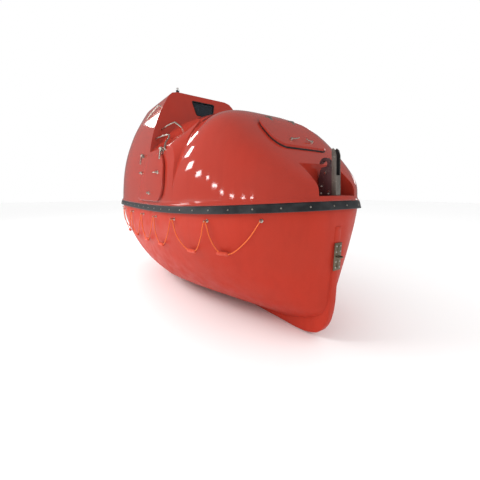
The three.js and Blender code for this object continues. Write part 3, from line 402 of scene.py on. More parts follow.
def worn_paint(name, paint, bare):
    """Painted metal whose paint has chipped off in spots."""
    look = Recipe(name)
    chips = look.band(look.noise(48.0, 7.0, 0.68), 0.6, 0.66)
    tone = look.band(look.noise(9.0, 5.0), 0.35, 0.7)
    base = look.blend(tone, paint, tuple(1.5 * c for c in paint[:3]) + (1.0,))
    base = look.blend(chips, base, bare)
    bump = look.bump(chips, 0.25, 0.0006, look.soft_edges(0.002))
    bareness = look.band(chips, 0.0, 1.0, 0.25, 0.7)
    return look.set(Base_Color=base, Metallic=bareness, Roughness=0.42, Normal=bump)


def rope_fibre(name, main, shade_tone):
    look = Recipe(name)
    fibres = look.noise(420.0, 4.0, 0.7)
    base = look.blend(look.band(fibres, 0.35, 0.75), main, shade_tone)
    bump = look.bump(fibres, 0.5, 0.0008)
    return look.set(Base_Color=base, Roughness=0.75, Normal=bump, Sheen_Weight=0.15, Sheen_Roughness=0.5)


def plastic(name, main, second, rough, grain_scale=220.0):
    look = Recipe(name)
    tone = look.band(look.noise(5.0, 5.0), 0.35, 0.7)
    base = look.blend(tone, main, second)
    bump = look.bump(look.noise(grain_scale, 4.0), 0.15, 0.0008, look.soft_edges(0.003))
    return look.set(Base_Color=base, Roughness=look.band(tone, 0.0, 1.0, rough, rough * 1.3), Normal=bump)


def glass(name, tint, through, rough):
    look = Recipe(name)
    film = look.band(look.noise(9.0, 6.0, 0.6), 0.4, 0.8, rough, rough * 3)
    bump = look.bump(look.noise(3.0, 2.0), 0.02, 0.01)
    return look.set(Base_Color=tint, Roughness=film, Normal=bump, Transmission_Weight=through, IOR=1.49)


HULL_LOOK = gelcoat("hull_gelcoat", colour(186, 54, 37), colour(178, 58, 43), 0.42, 0.05, 0.1, 0.0)
CANOPY_LOOK = gelcoat("canopy_gelcoat", colour(172, 52, 38), colour(164, 56, 44), 0.07, 0.1, 0.5, 0.3)
RUBBER_LOOK = rubber()
STEEL_LOOK = steel("stainless_steel", colour(196, 190, 178), 0.2, 0.42, (1.0, 1.0, 14.0))
PLATE_LOOK = steel("weathered_steel", colour(126, 116, 98), 0.4, 0.65, (2.0, 8.0, 2.0))
BRONZE_LOOK = steel("propeller_bronze", colour(176, 134, 74), 0.25, 0.5, (6.0, 1.0, 1.0))
BROWN_LOOK = worn_paint("hook_paint", colour(74, 48, 50), colour(150, 140, 128))
GUARD_LOOK = worn_paint("guard_galvanised", colour(92, 86, 80), colour(176, 170, 160))
ZINC_LOOK = plastic("zinc_plated", colour(176, 172, 164), colour(150, 146, 138), 0.4)
GREY_LOOK = worn_paint("grey_paint", colour(112, 118, 122), colour(150, 150, 148))
ROPE_LOOK = rope_fibre("lifeline_rope", colour(255, 122, 48), colour(196, 78, 24))
FLOAT_LOOK = plastic("float_foam", colour(214, 74, 44), colour(190, 62, 40), 0.5)
DARK_LOOK = plastic("dark_plastic", colour(34, 36, 39), colour(48, 50, 52), 0.45)
PALE_LOOK = plastic("pale_plastic", colour(214, 208, 194), colour(198, 192, 178), 0.5)
PANE_LOOK = glass("window_glass", colour(60, 72, 84), 0.75, 0.06)
LENS_LOOK = glass("lamp_glass", colour(236, 238, 236), 0.6, 0.08)
# Black rubber for the seals and the window's gasket, also used for the hook guards' inner sheets, which are
# painted shade.
SEAL_LOOK = plastic("seal_rubber", colour(22, 22, 24), colour(30, 30, 32), 0.55)


# Form of the boat. A level is 0 at the gunwale and 1 at the keel.

BILGE = {"round": 2.03, "fullness": 0.332, "swell": 0.1}
STEM_RAKE = {"straight": 0.130, "forefoot": 0.488, "from": 0.75, "power": 2.2}
STERN_RAKE = {"amount": 0.900, "power": 0.84}
STERN_FINING = 3.6
LEAST_HALF = 0.008


def superellipse(fraction, power):
    return max(1 - abs(fraction) ** power, 0.0) ** (1 / power)


def gunwale(x):
    rise = SHEER_FORE if x > 0 else SHEER_AFT
    return GUNWALE_Z + rise * (x / HALF_LENGTH) ** 2


def plan_fractions(count):
    """Lengthwise fractions from the bow to the stern, evenly along the plan's edge."""
    fine = 4000
    edge = []
    for i in range(fine + 1):
        angle = math.pi * i / fine
        power = BOW_FULLNESS if angle < math.pi / 2 else STERN_FULLNESS
        c, s = math.cos(angle), math.sin(angle)
        reach = (abs(c / SKIN_LENGTH) ** power + abs(s / SKIN_BREADTH) ** power) ** (-1 / power)
        edge.append((reach * c, reach * s))
    along = [0.0]
    for (x0, y0), (x1, y1) in zip(edge, edge[1:]):
        along.append(along[-1] + math.hypot(x1 - x0, y1 - y0))
    fractions = []
    i = 0
    for k in range(count):
        wanted = along[-1] * (k + 0.5) / count
        while along[i] < wanted:
            i += 1
        fractions.append(edge[i][0] / SKIN_LENGTH)
    return fractions


FINE = plan_fractions(110)
COARSE = plan_fractions(48)


def fullness(fraction):
    return BOW_FULLNESS if fraction > 0 else STERN_FULLNESS


def plan_breadth(x, inset=0.0):
    fraction = min(abs(x) / (SKIN_LENGTH - inset), 0.99999)
    return (SKIN_BREADTH - inset) * superellipse(fraction, fullness(x))


def hull_ring(level, inset=0.0, fractions=FINE, lift=0.0):
    """A closed line round the hull at one level, drawn in by inset."""
    closing = (1 - level ** BILGE["round"]) ** BILGE["fullness"]
    breadth = SKIN_BREADTH * closing * (1 + BILGE["swell"] * level * (1 - level)) - inset
    forefoot = max((level - STEM_RAKE["from"]) / (1 - STEM_RAKE["from"]), 0) ** STEM_RAKE["power"]
    stem = SKIN_LENGTH - STEM_RAKE["straight"] * level - STEM_RAKE["forefoot"] * forefoot - inset
    stern = SKIN_LENGTH - STERN_RAKE["amount"] * level ** STERN_RAKE["power"] - inset
    bow_power = BOW_FULLNESS - BOW_FINING["amount"] * level ** BOW_FINING["power"]
    stern_power = STERN_FULLNESS - STERN_FINING * level
    side = []
    for fraction in fractions:
        x = fraction * (stem if fraction > 0 else stern)
        y = max(breadth, LEAST_HALF) * superellipse(fraction, bow_power if fraction > 0 else stern_power)
        top = gunwale(x)
        side.append((x, y, top - level * (top - (GUNWALE_Z - SKIN_DEPTH + inset)) + lift))
    return side + [(x, -y, z) for x, y, z in reversed(side)]


def hull_breadth(x, z):
    level = (gunwale(x) - z) / (gunwale(x) - GUNWALE_Z + SKIN_DEPTH)
    ring = hull_ring(max(level, 0.0))[:len(FINE)]
    for (x0, y0, _), (x1, y1, _) in zip(ring, ring[1:]):
        if x1 <= x:
            return y0 + (y1 - y0) * (x - x0) / (x1 - x0)
    return 0.0


def off_skin(x, z, off, side=PORT):
    """A place off the hull's skin, and the way out from the skin there."""
    step = 0.03
    slope = (hull_breadth(x + step, z) - hull_breadth(x - step, z)) / (2 * step)
    size = math.hypot(slope, 1)
    out = Vector((-slope / size, side / size, 0))
    skin = Vector((x, side * hull_breadth(x, z), z))
    return skin + off * out, out


DOME_FOOT = 0.08
DOME_HEIGHT = 1.381
DOME_CREST_X = -0.285
DOME_AFT_X = -0.42
DOME_TUCK = 0.016
DOME_POWER = 2.28
DOME_CURVE = (2.267, 1.9)
BOW_POWER = 5.0
SQUARING = {"from": 0.8, "to": 2.0}
FRONT_SLOPE = {"x": 1.65, "height": 0.969, "fall": 1.047, "blend": 0.12}
TOWER_TOP = GUNWALE_Z + 1.935
TOWER_FRONT_X = -0.335
TOWER_RAKE = 0.25
TOWER_AFT_X = -1.3
TOWER_CURVE = 2.7
THIN = 0.004
SURROUND = {"front": 0.85, "aft": -1.3, "top": GUNWALE_Z + 0.79, "radius": 0.26, "outer": 1.12,
            "inner": 0.70}
AHEAD = {"fore": 3.0, "half": 1.45, "over": 0.4}  # the form that cuts the tower's raked front
TOWER_SECTION = ((0, 1), (0.15, 0.995), (0.32, 0.975), (0.5, 0.92), (0.7, 0.81), (0.84, 0.695),
                 (0.95, 0.59), (0.985, 0.53), (1, 0.44))


def dome_height(x, inset):
    """The dome's top line: a long curve, and the sloping front that takes over from it near the bow."""
    fraction = max(x - DOME_CREST_X, 0) / (SKIN_LENGTH - inset - DOME_CREST_X)
    curve = (DOME_HEIGHT - inset) * (1 - min(fraction, 1) ** DOME_CURVE[0]) ** (1 / DOME_CURVE[1])
    fall, blend = FRONT_SLOPE["fall"], FRONT_SLOPE["blend"]
    slope = FRONT_SLOPE["height"] - inset * math.hypot(1, fall) - fall * (x - FRONT_SLOPE["x"])
    nearness = max(blend - abs(curve - slope), 0.0)
    return max(min(curve, slope) - nearness ** 2 / (4 * blend), THIN)


def dome_power(x):
    share = min(max((x - SQUARING["from"]) / (SQUARING["to"] - SQUARING["from"]), 0.0), 1.0)
    return DOME_POWER + (BOW_POWER - DOME_POWER) * share * share * (3 - 2 * share)


def dome_ring(x, inset, foot, count=56):
    tuck = DOME_TUCK if x < SURROUND["front"] - inset else 0.0
    breadth = plan_breadth(x, inset) - tuck
    base = gunwale(x) + DOME_FOOT
    height = dome_height(x, inset)
    bend = 2 / dome_power(x)
    low = gunwale(x) + foot + tuck
    arch = []
    for i in range(count + 1):
        c, s = math.cos(math.pi * i / count), max(math.sin(math.pi * i / count), 0.0)
        arch.append((x, breadth * math.copysign(abs(c) ** bend, c), base + height * s ** bend))
    return [(x, breadth, low)] + arch + [(x, -breadth, low)]


def tower_height(x, inset):
    rise = TOWER_TOP - GUNWALE_Z - DOME_FOOT - inset
    fraction = max(TOWER_AFT_X - x, 0) / (SKIN_LENGTH - inset + TOWER_AFT_X)
    return max(rise * superellipse(min(fraction, 1), TOWER_CURVE), THIN)


def smooth_table(table, curved, steps):
    """The table's rows with more of them between the first curved ones."""
    line = smooth_path([(up, out, 0) for up, out in table[:curved]], steps)
    return [(p.x, p.y) for p in line] + list(table[curved:])


TOWER_OUTLINE = smooth_table(TOWER_SECTION, 7, 4)


def tower_side(x, z):
    up = (z - gunwale(x) - DOME_FOOT) / tower_height(x, 0)
    for (u0, b0), (u1, b1) in zip(TOWER_OUTLINE, TOWER_OUTLINE[1:]):
        if u1 >= up:
            return plan_breadth(x) * (b0 + (b1 - b0) * (up - u0) / (u1 - u0))
    return 0.0


def tower_ring(x, inset, foot):
    breadth = plan_breadth(x, inset)
    base = gunwale(x) + DOME_FOOT
    height = tower_height(x, inset)
    side = [(x, breadth * out, base + height * up) for up, out in TOWER_OUTLINE]
    low = gunwale(x) + foot
    return [(x, breadth, low)] + side + [(a, -y, z) for a, y, z in reversed(side)] + [(x, -breadth, low)]


def skin_top(x, y):
    across = min(abs(y) / plan_breadth(x), 0.999)
    return gunwale(x) + DOME_FOOT + dome_height(x, 0) * superellipse(across, dome_power(x))


def hatch_surround(inset, side):
    front, top, radius = SURROUND["front"], SURROUND["top"], SURROUND["radius"]
    rings = []
    for out in (SURROUND["outer"], SURROUND["inner"]):
        grow = SKIN_BREADTH - out - inset
        right, high = front + grow, top + grow
        ring = [(SURROUND["aft"], side * out, 0.0), (right, side * out, 0.0)]
        for i in range(13):
            angle = math.pi / 2 * i / 12
            x = right - radius + radius * math.cos(angle)
            ring.append((x, side * out, high - radius + radius * math.sin(angle)))
        rings.append(ring + [(SURROUND["aft"], side * out, high)])
    return loft("surround", rings)


def canopy_form(inset, foot, fractions=FINE):
    """The canopy's solid form, drawn in by inset or grown if it is negative."""
    edge = SURROUND["front"] - inset
    places = [fraction * (SKIN_LENGTH - inset) for fraction in fractions]
    stations = [x for x in places if x > edge + 0.02] + [edge + 0.012, edge - 0.012]
    stations += [x for x in places if DOME_AFT_X < x < edge - 0.02] + [DOME_AFT_X]
    dome = loft("dome", [dome_ring(x, inset, foot) for x in stations])
    stations = [edge + 0.12] + [x for x in places if x < edge]
    tower = loft("tower", [tower_ring(x, inset, foot) for x in stations])
    roof_edge = TOWER_FRONT_X - inset
    fore, half, over = AHEAD.values()
    high = TOWER_TOP + over
    face = [(roof_edge + TOWER_RAKE * TOWER_TOP, 0), (fore, 0), (fore, high),
            (roof_edge - TOWER_RAKE * over, high)]
    ahead = slab("ahead", face, "xz", -half, half)
    cut(ahead, hatch_surround(inset, PORT), hatch_surround(inset, STARBOARD))
    cut(tower, ahead)
    return unite(tower, dome)


TOOL_FOOT = -0.06  # foot of the forms that only cut other pieces, below the gunwale
RECESS_BACK = 2.215
RECESS_FLOOR = GUNWALE_Z + 0.195
BOW_RECESS = ((0, 0.24), (0.03, 0.272), (0.29, 0.278), (0.39, 0.316), (1.7, 0.316))
STERN_RECESS = ((0, 0.2), (0.145, 0.285), (0.255, 0.335), (0.375, 0.365), (0.48, 0.15), (1.7, 0.11))


def recess(toward, grow):
    rows = BOW_RECESS if toward > 0 else smooth_table(STERN_RECESS, 4, 4)
    half = [(out + grow, RECESS_FLOOR + up - (0 if up > 0 else grow)) for up, out in rows]
    outline = half + [(-y, z) for y, z in reversed(half)]
    near, far = RECESS_BACK - grow, 2 * HALF_LENGTH
    return slab("recess", outline, "yz", *ordered(toward, near, far))


BOW_HATCH = {"x": 1.864, "long": 0.324, "wide": 0.772, "corner": 0.120}
AFT_HATCH = {"x": -1.85, "long": 0.42, "wide": 0.56, "corner": 0.11}
SIDE_HATCH = {"x": 0.06, "z": 1.115, "long": 1.12, "tall": 0.59, "corner": 0.22}
SIDE_CUT = (0.5, 1.3)  # how far out the side hatches' cutting forms reach
LID_THICK = 0.026
RAISED_CLEAR = 0.013  # height of the top lids' visible panels over the skin, above a tall black seal that is partly painted shadow
LID_LAP = 0.028


def top_hatch_tool(hatch, grow):
    long, wide = hatch["long"] + 2 * grow, hatch["wide"] + 2 * grow
    plan = rounded_rectangle(hatch["x"], 0, long, wide, hatch["corner"] + grow)
    return slab("hatch", plan, "xy", GUNWALE_Z + 0.2, TOWER_TOP + 0.3)


def side_hatch_tool(side, grow):
    long, tall = SIDE_HATCH["long"] + 2 * grow, SIDE_HATCH["tall"] + 2 * grow
    outline = rounded_rectangle(SIDE_HATCH["x"], SIDE_HATCH["z"], long, tall, SIDE_HATCH["corner"] + grow)
    return slab("hatch", outline, "xz", *ordered(side, *SIDE_CUT))


# Camera and lifelines

def place_camera():
    camera = link(bpy.data.objects.new("camera", bpy.data.cameras.new("camera")))
    camera.location = CAMERA_PLACE
    camera.rotation_euler = (math.radians(90 + CAMERA_PITCH), 0, math.radians(CAMERA_HEADING - 90))
    camera.data.sensor_width = SENSOR
    camera.data.lens = SENSOR * FOCAL_PIXELS / FRAME_SIZE
    camera.data.shift_y = (HORIZON_ROW - FRAME_SIZE / 2) / FRAME_SIZE
    bpy.context.scene.camera = camera


EYE_X = (2.126, 1.560, 0.943, 0.380, -0.190, -0.800, -1.430, -2.050)
EYE_DROP = 0.075
ROPE_OFF = 0.040
ROPE_RADIUS = 0.006
BIGHT_DROP = 0.355
BIGHT_LOW = (0.76, 0.49, 0.68, 0.64, 0.6, 0.5, 0.5)  # share of each span where the rope is lowest
BIGHT_SHAPE = ((0.15, 0.5), (0.38, 0.95), (0.62, 0.97), (0.85, 0.6))  # shares of span and drop
FLOAT_RADIUS = 0.020
FLOAT_LONG = 0.140
STRAND_PITCH = 0.05


def lifeline_route(side):
    points = []
    for x, following, low in zip(EYE_X, EYE_X[1:], BIGHT_LOW):
        z = gunwale(x) - EYE_DROP
        points.append(off_skin(x, z, ROPE_OFF, side)[0])
        for share, drop in BIGHT_SHAPE:
            slid = 2 * share * low if share < 0.5 else low + 2 * (share - 0.5) * (1 - low)
            points.append(off_skin(x + slid * (following - x), z - drop * BIGHT_DROP, ROPE_OFF, side)[0])
    points.append(off_skin(EYE_X[-1], gunwale(EYE_X[-1]) - EYE_DROP, ROPE_OFF, side)[0])
    return points


def even_line(points, step):
    """The smooth line through the points, cut into equal steps."""
    line = smooth_path(points, 24)
    along = [0.0]
    for a, b in zip(line, line[1:]):
        along.append(along[-1] + (b - a).length)
    count = round(along[-1] / step)
    even, i = [], 0
    for k in range(count + 1):
        wanted = along[-1] * k / count
        while i + 2 < len(line) and along[i + 1] < wanted:
            i += 1
        share = (wanted - along[i]) / (along[i + 1] - along[i])
        even.append(line[i].lerp(line[i + 1], share))
    return even, along[-1]


def laid_rope(name, line, radius, look):
    """Three strands laid round each other, as one closed skin."""
    sides = 12
    rings = []
    travelled = 0.0
    for i, (point, u, v) in enumerate(carried_frames(line)):
        if i:
            travelled += (line[i] - line[i - 1]).length
        ring = []
        for k in range(sides):
            angle = 2 * math.pi * k / sides
            size = radius * (0.87 + 0.17 * abs(math.cos(1.5 * angle)))
            turn = angle + 2 * math.pi * travelled / STRAND_PITCH
            ring.append(point + size * (math.cos(turn) * u + math.sin(turn) * v))
        rings.append(ring)
    return loft(name, rings, look, angle=60)


def lifeline_float(middle, along, name):
    """A foam float with rounded ends and a groove near each."""
    half, r = FLOAT_LONG / 2, FLOAT_RADIUS
    profile = [(0.4 * r, -half), (0.8 * r, -half + 0.005), (0.97 * r, -half + 0.016), (r, -half + 0.03),
               (r, -half + 0.038), (0.93 * r, -half + 0.042), (r, -half + 0.046)]
    profile += [(size, -distance) for size, distance in reversed(profile)]
    return turned(name, profile, middle, along, FLOAT_LOOK)


def lifelines():
    for side, word in SIDES:
        line, length = even_line(lifeline_route(side), 0.009)
        rope = laid_rope(f"lifeline_rope_{word}", line, ROPE_RADIUS, ROPE_LOOK)
        floats = []
        for x, following, low in zip(EYE_X, EYE_X[1:], BIGHT_LOW):
            middle = x + low * (following - x)
            z = gunwale(x) - EYE_DROP - BIGHT_DROP
            ends = [off_skin(middle + way * FLOAT_LONG / 2, z, ROPE_OFF, side)[0] for way in (1, -1)]
            floats.append(lifeline_float((ends[0] + ends[1]) / 2, ends[0] - ends[1], "float"))
        floats = merge(f"lifeline_floats_{word}", floats)
        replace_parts(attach(rope, "hull"), f"lifeline_{word}")
        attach(floats, "hull")


EYE_FOOT = ((0.004, 0), (0.019, 0), (0.019, 0.006), (0.016, 0.009), (0.008, 0.011), (0.007, 0.030),
            (0.004, 0.030))
EYE_LOOP = {"radius": 0.0105, "bar": 0.0035, "steps": 20}


def lifeline_eyes():
    """At each eye a round foot on the hull and a loop that the rope runs through."""
    up = Vector((0, 0, 1))
    parts = []
    for side in (STARBOARD, PORT):
        for x in EYE_X:
            z = gunwale(x) - EYE_DROP
            skin, out = off_skin(x, z, -0.004, side)
            parts.append(turned("foot", EYE_FOOT, skin, out, STEEL_LOOK, 16))
            middle = off_skin(x, z, ROPE_OFF, side)[0]
            loop = [middle + EYE_LOOP["radius"] * (math.cos(a) * out + math.sin(a) * up)
                    for a in turns(EYE_LOOP["steps"])]
            parts.append(tube("loop", loop, EYE_LOOP["bar"], STEEL_LOOK, 8, closed=True))
    eyes = merge("lifeline_eyes", parts)
    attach(eyes, "hull")


# Hull

KEEL_HALF = 0.048
STEM_PROFILE = ((2.455, 0.6), (2.44, 0.45), (2.418, 0.17), (2.392, -0.13), (2.362, -0.29), (2.312, -0.41),
                (2.215, -0.505), (2.07, -0.55))
STERN_TUBE_Z = -0.225
RUDDER_X = -2.18
HEEL_TOP = -0.505
BOSS = ((0.05, 0), (0.062, 0.02), (0.058, 0.2), (0.045, 0.34), (0.036, 0.37), (0.02, 0.372))
BOSS_START_X = -1.5
RUDDER_PORT = ((0.05, 0), (0.048, -0.01), (0.05, -0.1), (0.06, -0.24))


def hull_levels():
    count = 44
    return [1 - (1 - i / count) ** 1.9 for i in range(count)] + [0.9995]


def stem_line():
    line = smooth_path([(x, 0, z) for x, z in STEM_PROFILE], 5)
    return [(p.x, p.z) for p in line]


def keel_bar():
    profile = stem_line() + [(1.95, KEEL_Z), (-1.6, KEEL_Z), (-1.69, -0.47), (-1.6, -0.44), (1.5, -0.47),
                             (1.9, -0.4), (2.13, -0.18), (2.3, 0.1), (2.4, 0.6)]
    return slab("keel", profile, "xz", -KEEL_HALF, KEEL_HALF, edge=0.02)


def hull():
    outside = [hull_ring(level) for level in reversed(hull_levels())]
    rim = [hull_ring(0, inset, lift=FLANGE_HEIGHT) for inset in (0, HULL_WALL)]
    inside = [hull_ring(level, HULL_WALL) for level in hull_levels()[0:-3:4]]
    skin = loft("hull", outside + rim + inside)
    unite(skin, keel_bar())
    unite(skin, turned("boss", BOSS, (BOSS_START_X, 0, STERN_TUBE_Z), (-1, 0, 0)))
    unite(skin, turned("rudder_port", RUDDER_PORT, (RUDDER_X, 0, 0.18), (0, 0, -1)))
    unite(skin, block("heel", (-2.23, -1.58), (-0.028, 0.028), (KEEL_Z, HEEL_TOP), edge=0.008))
    unite(skin, block("keelson", (-1.4, 1.4), (-0.04, 0.04), (-0.48, -0.1503), edge=0))
    cut(skin, rod("bore", (-1.64, 0, STERN_TUBE_Z), (-1.9, 0, STERN_TUBE_Z), 0.0187))
    cut(skin, rod("bore", (RUDDER_X, 0, 0.1), (RUDDER_X, 0, 0.4), 0.0207))
    cut(skin, rod("bore", (RUDDER_X, 0, KEEL_Z + 0.015), (RUDDER_X, 0, HEEL_TOP + 0.02), 0.0127))
    skin.name = "hull_moulding"
    dress(shade(skin, 24), HULL_LOOK)
    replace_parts(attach(skin, "hull"), "hull_shell")


STRAKE_SECTION = ((0.0003, 0), (0.030, -0.006), (0.036, -0.0052), (0.038, -0.001), (0.0374, 0.004),
                  (0.024, 0.062), (0.0215, 0.070), (0.0175, 0.0745), (0.012, 0.076), (0.0003, 0.076))
STRAKE_BOLT = ((0.0035, -0.003), (0.0085, -0.003), (0.0085, 0.0015), (0.0068, 0.0036), (0.0030, 0.0044))
BOLT_START = 0.034
BOLT_SPACING = 0.25
BOLT_PLACE = {"out": 0.0308, "up": 0.034, "tilt": 0.23}


def ring_normals(ring):
    normals = []
    for i, point in enumerate(ring):
        before, after = ring[i - 1], ring[(i + 1) % len(ring)]
        dx, dy = after[0] - before[0], after[1] - before[1]
        size = math.hypot(dx, dy)
        way = 1 if dx * point[1] - dy * point[0] < 0 else -1
        normals.append((way * dy / size, -way * dx / size))
    return normals


def around(name, section, look, angle=28):
    """A section carried round the gunwale: rows of distance out from the skin and height."""
    ring = hull_ring(0)
    normals = ring_normals(ring)
    rings = [[(x + out * nx, y + out * ny, z + up) for out, up in section]
             for (x, y, z), (nx, ny) in zip(ring, normals)]
    return loft(name, rings, look, closed=True, angle=angle)


def strake():
    band = around("strake_rubber_band", STRAKE_SECTION, RUBBER_LOOK)
    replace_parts(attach(band, "hull"), "rubbing_strake")
    bolts = []
    ring = hull_ring(0)
    normals = ring_normals(ring)
    travelled, wanted = 0.0, BOLT_START
    for i in range(1, len(ring)):
        step = math.dist(ring[i][:2], ring[i - 1][:2])
        while travelled + step >= wanted:
            share = (wanted - travelled) / step
            place = [a + (b - a) * share for a, b in zip(ring[i - 1], ring[i])]
            nx, ny = normals[i]
            out = BOLT_PLACE["out"]
            foot = (place[0] + out * nx, place[1] + out * ny, place[2] + BOLT_PLACE["up"])
            bolts.append(turned("bolt", STRAKE_BOLT, foot, (nx, ny, BOLT_PLACE["tilt"]), STEEL_LOOK, 10))
            wanted += BOLT_SPACING
        travelled += step
    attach(merge("strake_bolts", bolts), "hull")


# Canopy

WINDOW_OUTLINE = ((-0.15, -0.25), (0.15, -0.25), (0.21, 0.0), (-0.21, 0.0))
WINDOW_TOP_Z = TOWER_TOP - 0.11
WINDOW_CORNER = 0.03
GASKET_RADIUS = 0.0095
HINGE_RISE = 0.034
BOW_HINGE = {"x": BOW_HATCH["x"] - BOW_HATCH["long"] / 2 - 0.05, "y": 0.181}
BOW_HANDLES = {"x": 1.978, "y": 0.161}
BOW_FACING = (0.7, 0, 0.714)
AFT_HINGE = {"x": AFT_HATCH["x"] + AFT_HATCH["long"] / 2 + 0.05, "y": 0.15}
SIDE_HINGE = {"z": SIDE_HATCH["z"] + SIDE_HATCH["tall"] / 2 + 0.084, "spread": 0.44}
BOW_HINGE_Z = skin_top(BOW_HINGE["x"], BOW_HINGE["y"]) + HINGE_RISE
AFT_HINGE_Z = gunwale(AFT_HINGE["x"]) + DOME_FOOT + tower_height(AFT_HINGE["x"], 0) + HINGE_RISE
SIDE_HINGE_Y = 1.0435
FLANGE_SECTION = ((-0.004, 0.0765), (0.0205, 0.0765), (0.0210, 0.0800), (0.0165, 0.0830), (0.0100, 0.0870),
                  (0.0045, 0.0960), (0.0008, 0.1120), (-0.0040, 0.1260))


def canopy():
    shell = canopy_form(0, FLANGE_HEIGHT + FIT)
    hollow = canopy_form(CANOPY_WALL, TOOL_FOOT, COARSE)
    for toward in (1, -1):
        cut(shell, recess(toward, 0))
        cut(hollow, recess(toward, CANOPY_WALL))
    cut(shell, hollow)
    window = [(y, WINDOW_TOP_Z + z) for y, z in WINDOW_OUTLINE]
    cut(shell, top_hatch_tool(BOW_HATCH, 0), top_hatch_tool(AFT_HATCH, 0),
        side_hatch_tool(PORT, 0), side_hatch_tool(STARBOARD, 0), slab("window", window, "yz", -0.7, 0.0))
    shell.name = "canopy_moulding"
    dress(shade(shell, 26), CANOPY_LOOK)
    flange = around("canopy_flange", FLANGE_SECTION, CANOPY_LOOK, 50)
    shell = merge("canopy_moulding", [shell, flange])
    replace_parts(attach(shell, "hull"), "canopy_shell")


# Hinges and lids

PIN_RADIUS = 0.006
BARREL_RADIUS = 0.013
KNUCKLE_HALF = 0.026
LUG_LONG = 0.014
STRAP_THICK = 0.012
STRAP_POINTS = ((0.045, 0.004), (0.10, 0.001), (0.15, -0.001))  # distance onto the lid and rise over it
HANDLE_BOSS = ((0.006, -0.010), (0.024, -0.010), (0.024, 0.004), (0.019, 0.008), (0.015, 0.012),
               (0.0145, 0.030), (0.011, 0.035), (0.004, 0.036))
HANDLE_LEVER = ((0, 0.026), (0.04, 0.026), (0.085, 0.030), (0.105, 0.038))  # along and out
# The top lids' seals reach nearly to the lids' edges and stand tall: partly a real seal, partly painted
# shadow in the gap.
SEAL_REACH = {"raised": LID_LAP - 0.002, "close": 0.020, "inner": 0.006}
SEAL_SINK = {"raised": 0.001, "close": 0.0008}  # how far a seal's top stays below the lid over it


def shifted(at, axis, distance):
    step = Vector((distance, 0, 0)) if axis == "x" else Vector((0, distance, 0))
    return Vector(at) + step


def flat_bar(name, points, axis, middle, half, thick, look, edge=0.002):
    """A flat bar along points in the plane across the axis, with rounded ends."""
    flat = [Vector((p[1], p[2])) if axis == "x" else Vector((p[0], p[2])) for p in points]
    left, right = [], []
    for i, point in enumerate(flat):
        a, b = flat[max(i - 1, 0)], flat[min(i + 1, len(flat) - 1)]
        normal = Vector((-(b - a).y, (b - a).x)).normalized() * thick / 2
        left.append(point + normal)
        right.append(point - normal)
    outline = [tuple(p) for p in left + right[::-1]]
    return slab(name, outline, "yz" if axis == "x" else "xz", middle - half, middle + half, look, edge)


def hinge_lugs(at, axis, foot):
    """A pin and the two lugs that hold it, from the axis down to the foot."""
    near = KNUCKLE_HALF + 0.001
    far = near + LUG_LONG
    pin = [shifted(at, axis, way * (far + 0.004)) for way in (-1, 1)]
    parts = [rod("pin", pin[0], pin[1], PIN_RADIUS, STEEL_LOOK, 16, edge=0.001)]
    for end in (-1, 1):
        middle = shifted(at, axis, end * (near + far) / 2)
        root = middle + Vector(foot)
        centre = middle.x if axis == "x" else middle.y
        wide = 2 * BARREL_RADIUS
        parts.append(flat_bar("lug", [middle, root], axis, centre, LUG_LONG / 2, wide, STEEL_LOOK))
        ends = [shifted(middle, axis, way * LUG_LONG / 2) for way in (-1, 1)]
        parts.append(rod("lug_eye", ends[0], ends[1], BARREL_RADIUS, STEEL_LOOK, 20, edge=0.0015))
    return parts


def hinge_strap(at, axis, points):
    """A barrel round the pin and the strap that runs from it onto the lid."""
    ends = [shifted(at, axis, way * KNUCKLE_HALF) for way in (-1, 1)]
    barrel = rod("barrel", ends[0], ends[1], BARREL_RADIUS, STEEL_LOOK, 20)
    ends = [shifted(at, axis, way * 0.06) for way in (-1, 1)]
    cut(barrel, rod("bore", ends[0], ends[1], PIN_RADIUS + 0.0008))
    centre = at[0] if axis == "x" else at[1]
    start = Vector(at) + (Vector(points[1]) - Vector(at)).normalized() * 0.009
    line = [start] + list(points[1:])
    strap = flat_bar("strap", line, axis, centre, KNUCKLE_HALF - 0.004, STRAP_THICK, STEEL_LOOK)
    return [dress(shade(barrel), STEEL_LOOK), strap]


def dog_handle(foot, out, along):
    """A turning handle: a stepped boss and a lever that bends up at its end."""
    foot, out, along = Vector(foot), Vector(out).normalized(), Vector(along).normalized()
    line = smooth_path([foot + along * far + out * up for far, up in HANDLE_LEVER], 6)
    lever = tube("lever", line, lambda share: 0.0072 - 0.001 * share, STEEL_LOOK, 12)
    return [turned("boss", HANDLE_BOSS, foot, out, STEEL_LOOK), lever]


def lid(name, body, tool, fittings, node, underside):
    """A lid that follows the skin outside its opening, with its fittings as a second piece."""
    panel = overlap(copy_of(LID_SKIN), tool)
    cut(panel, underside, keep=True)
    panel.name = name
    dress(shade(panel, 30), CANOPY_LOOK)
    steelwork = merge(f"{name}_fittings", fittings)
    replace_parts(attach(panel, body), node)
    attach(steelwork, body)


def hatch_seal(tool_out, tool_in, top_skin):
    """A black seal on the skin, in the gap under a lid's edge; tall under the top lids, where it is partly a
    real seal and partly painted shadow.
    """
    ring = cut(tool_out, tool_in)
    seal = overlap(copy_of(top_skin), ring)
    cut(seal, CANOPY_FORM, keep=True)
    return dress(shade(seal), SEAL_LOOK)


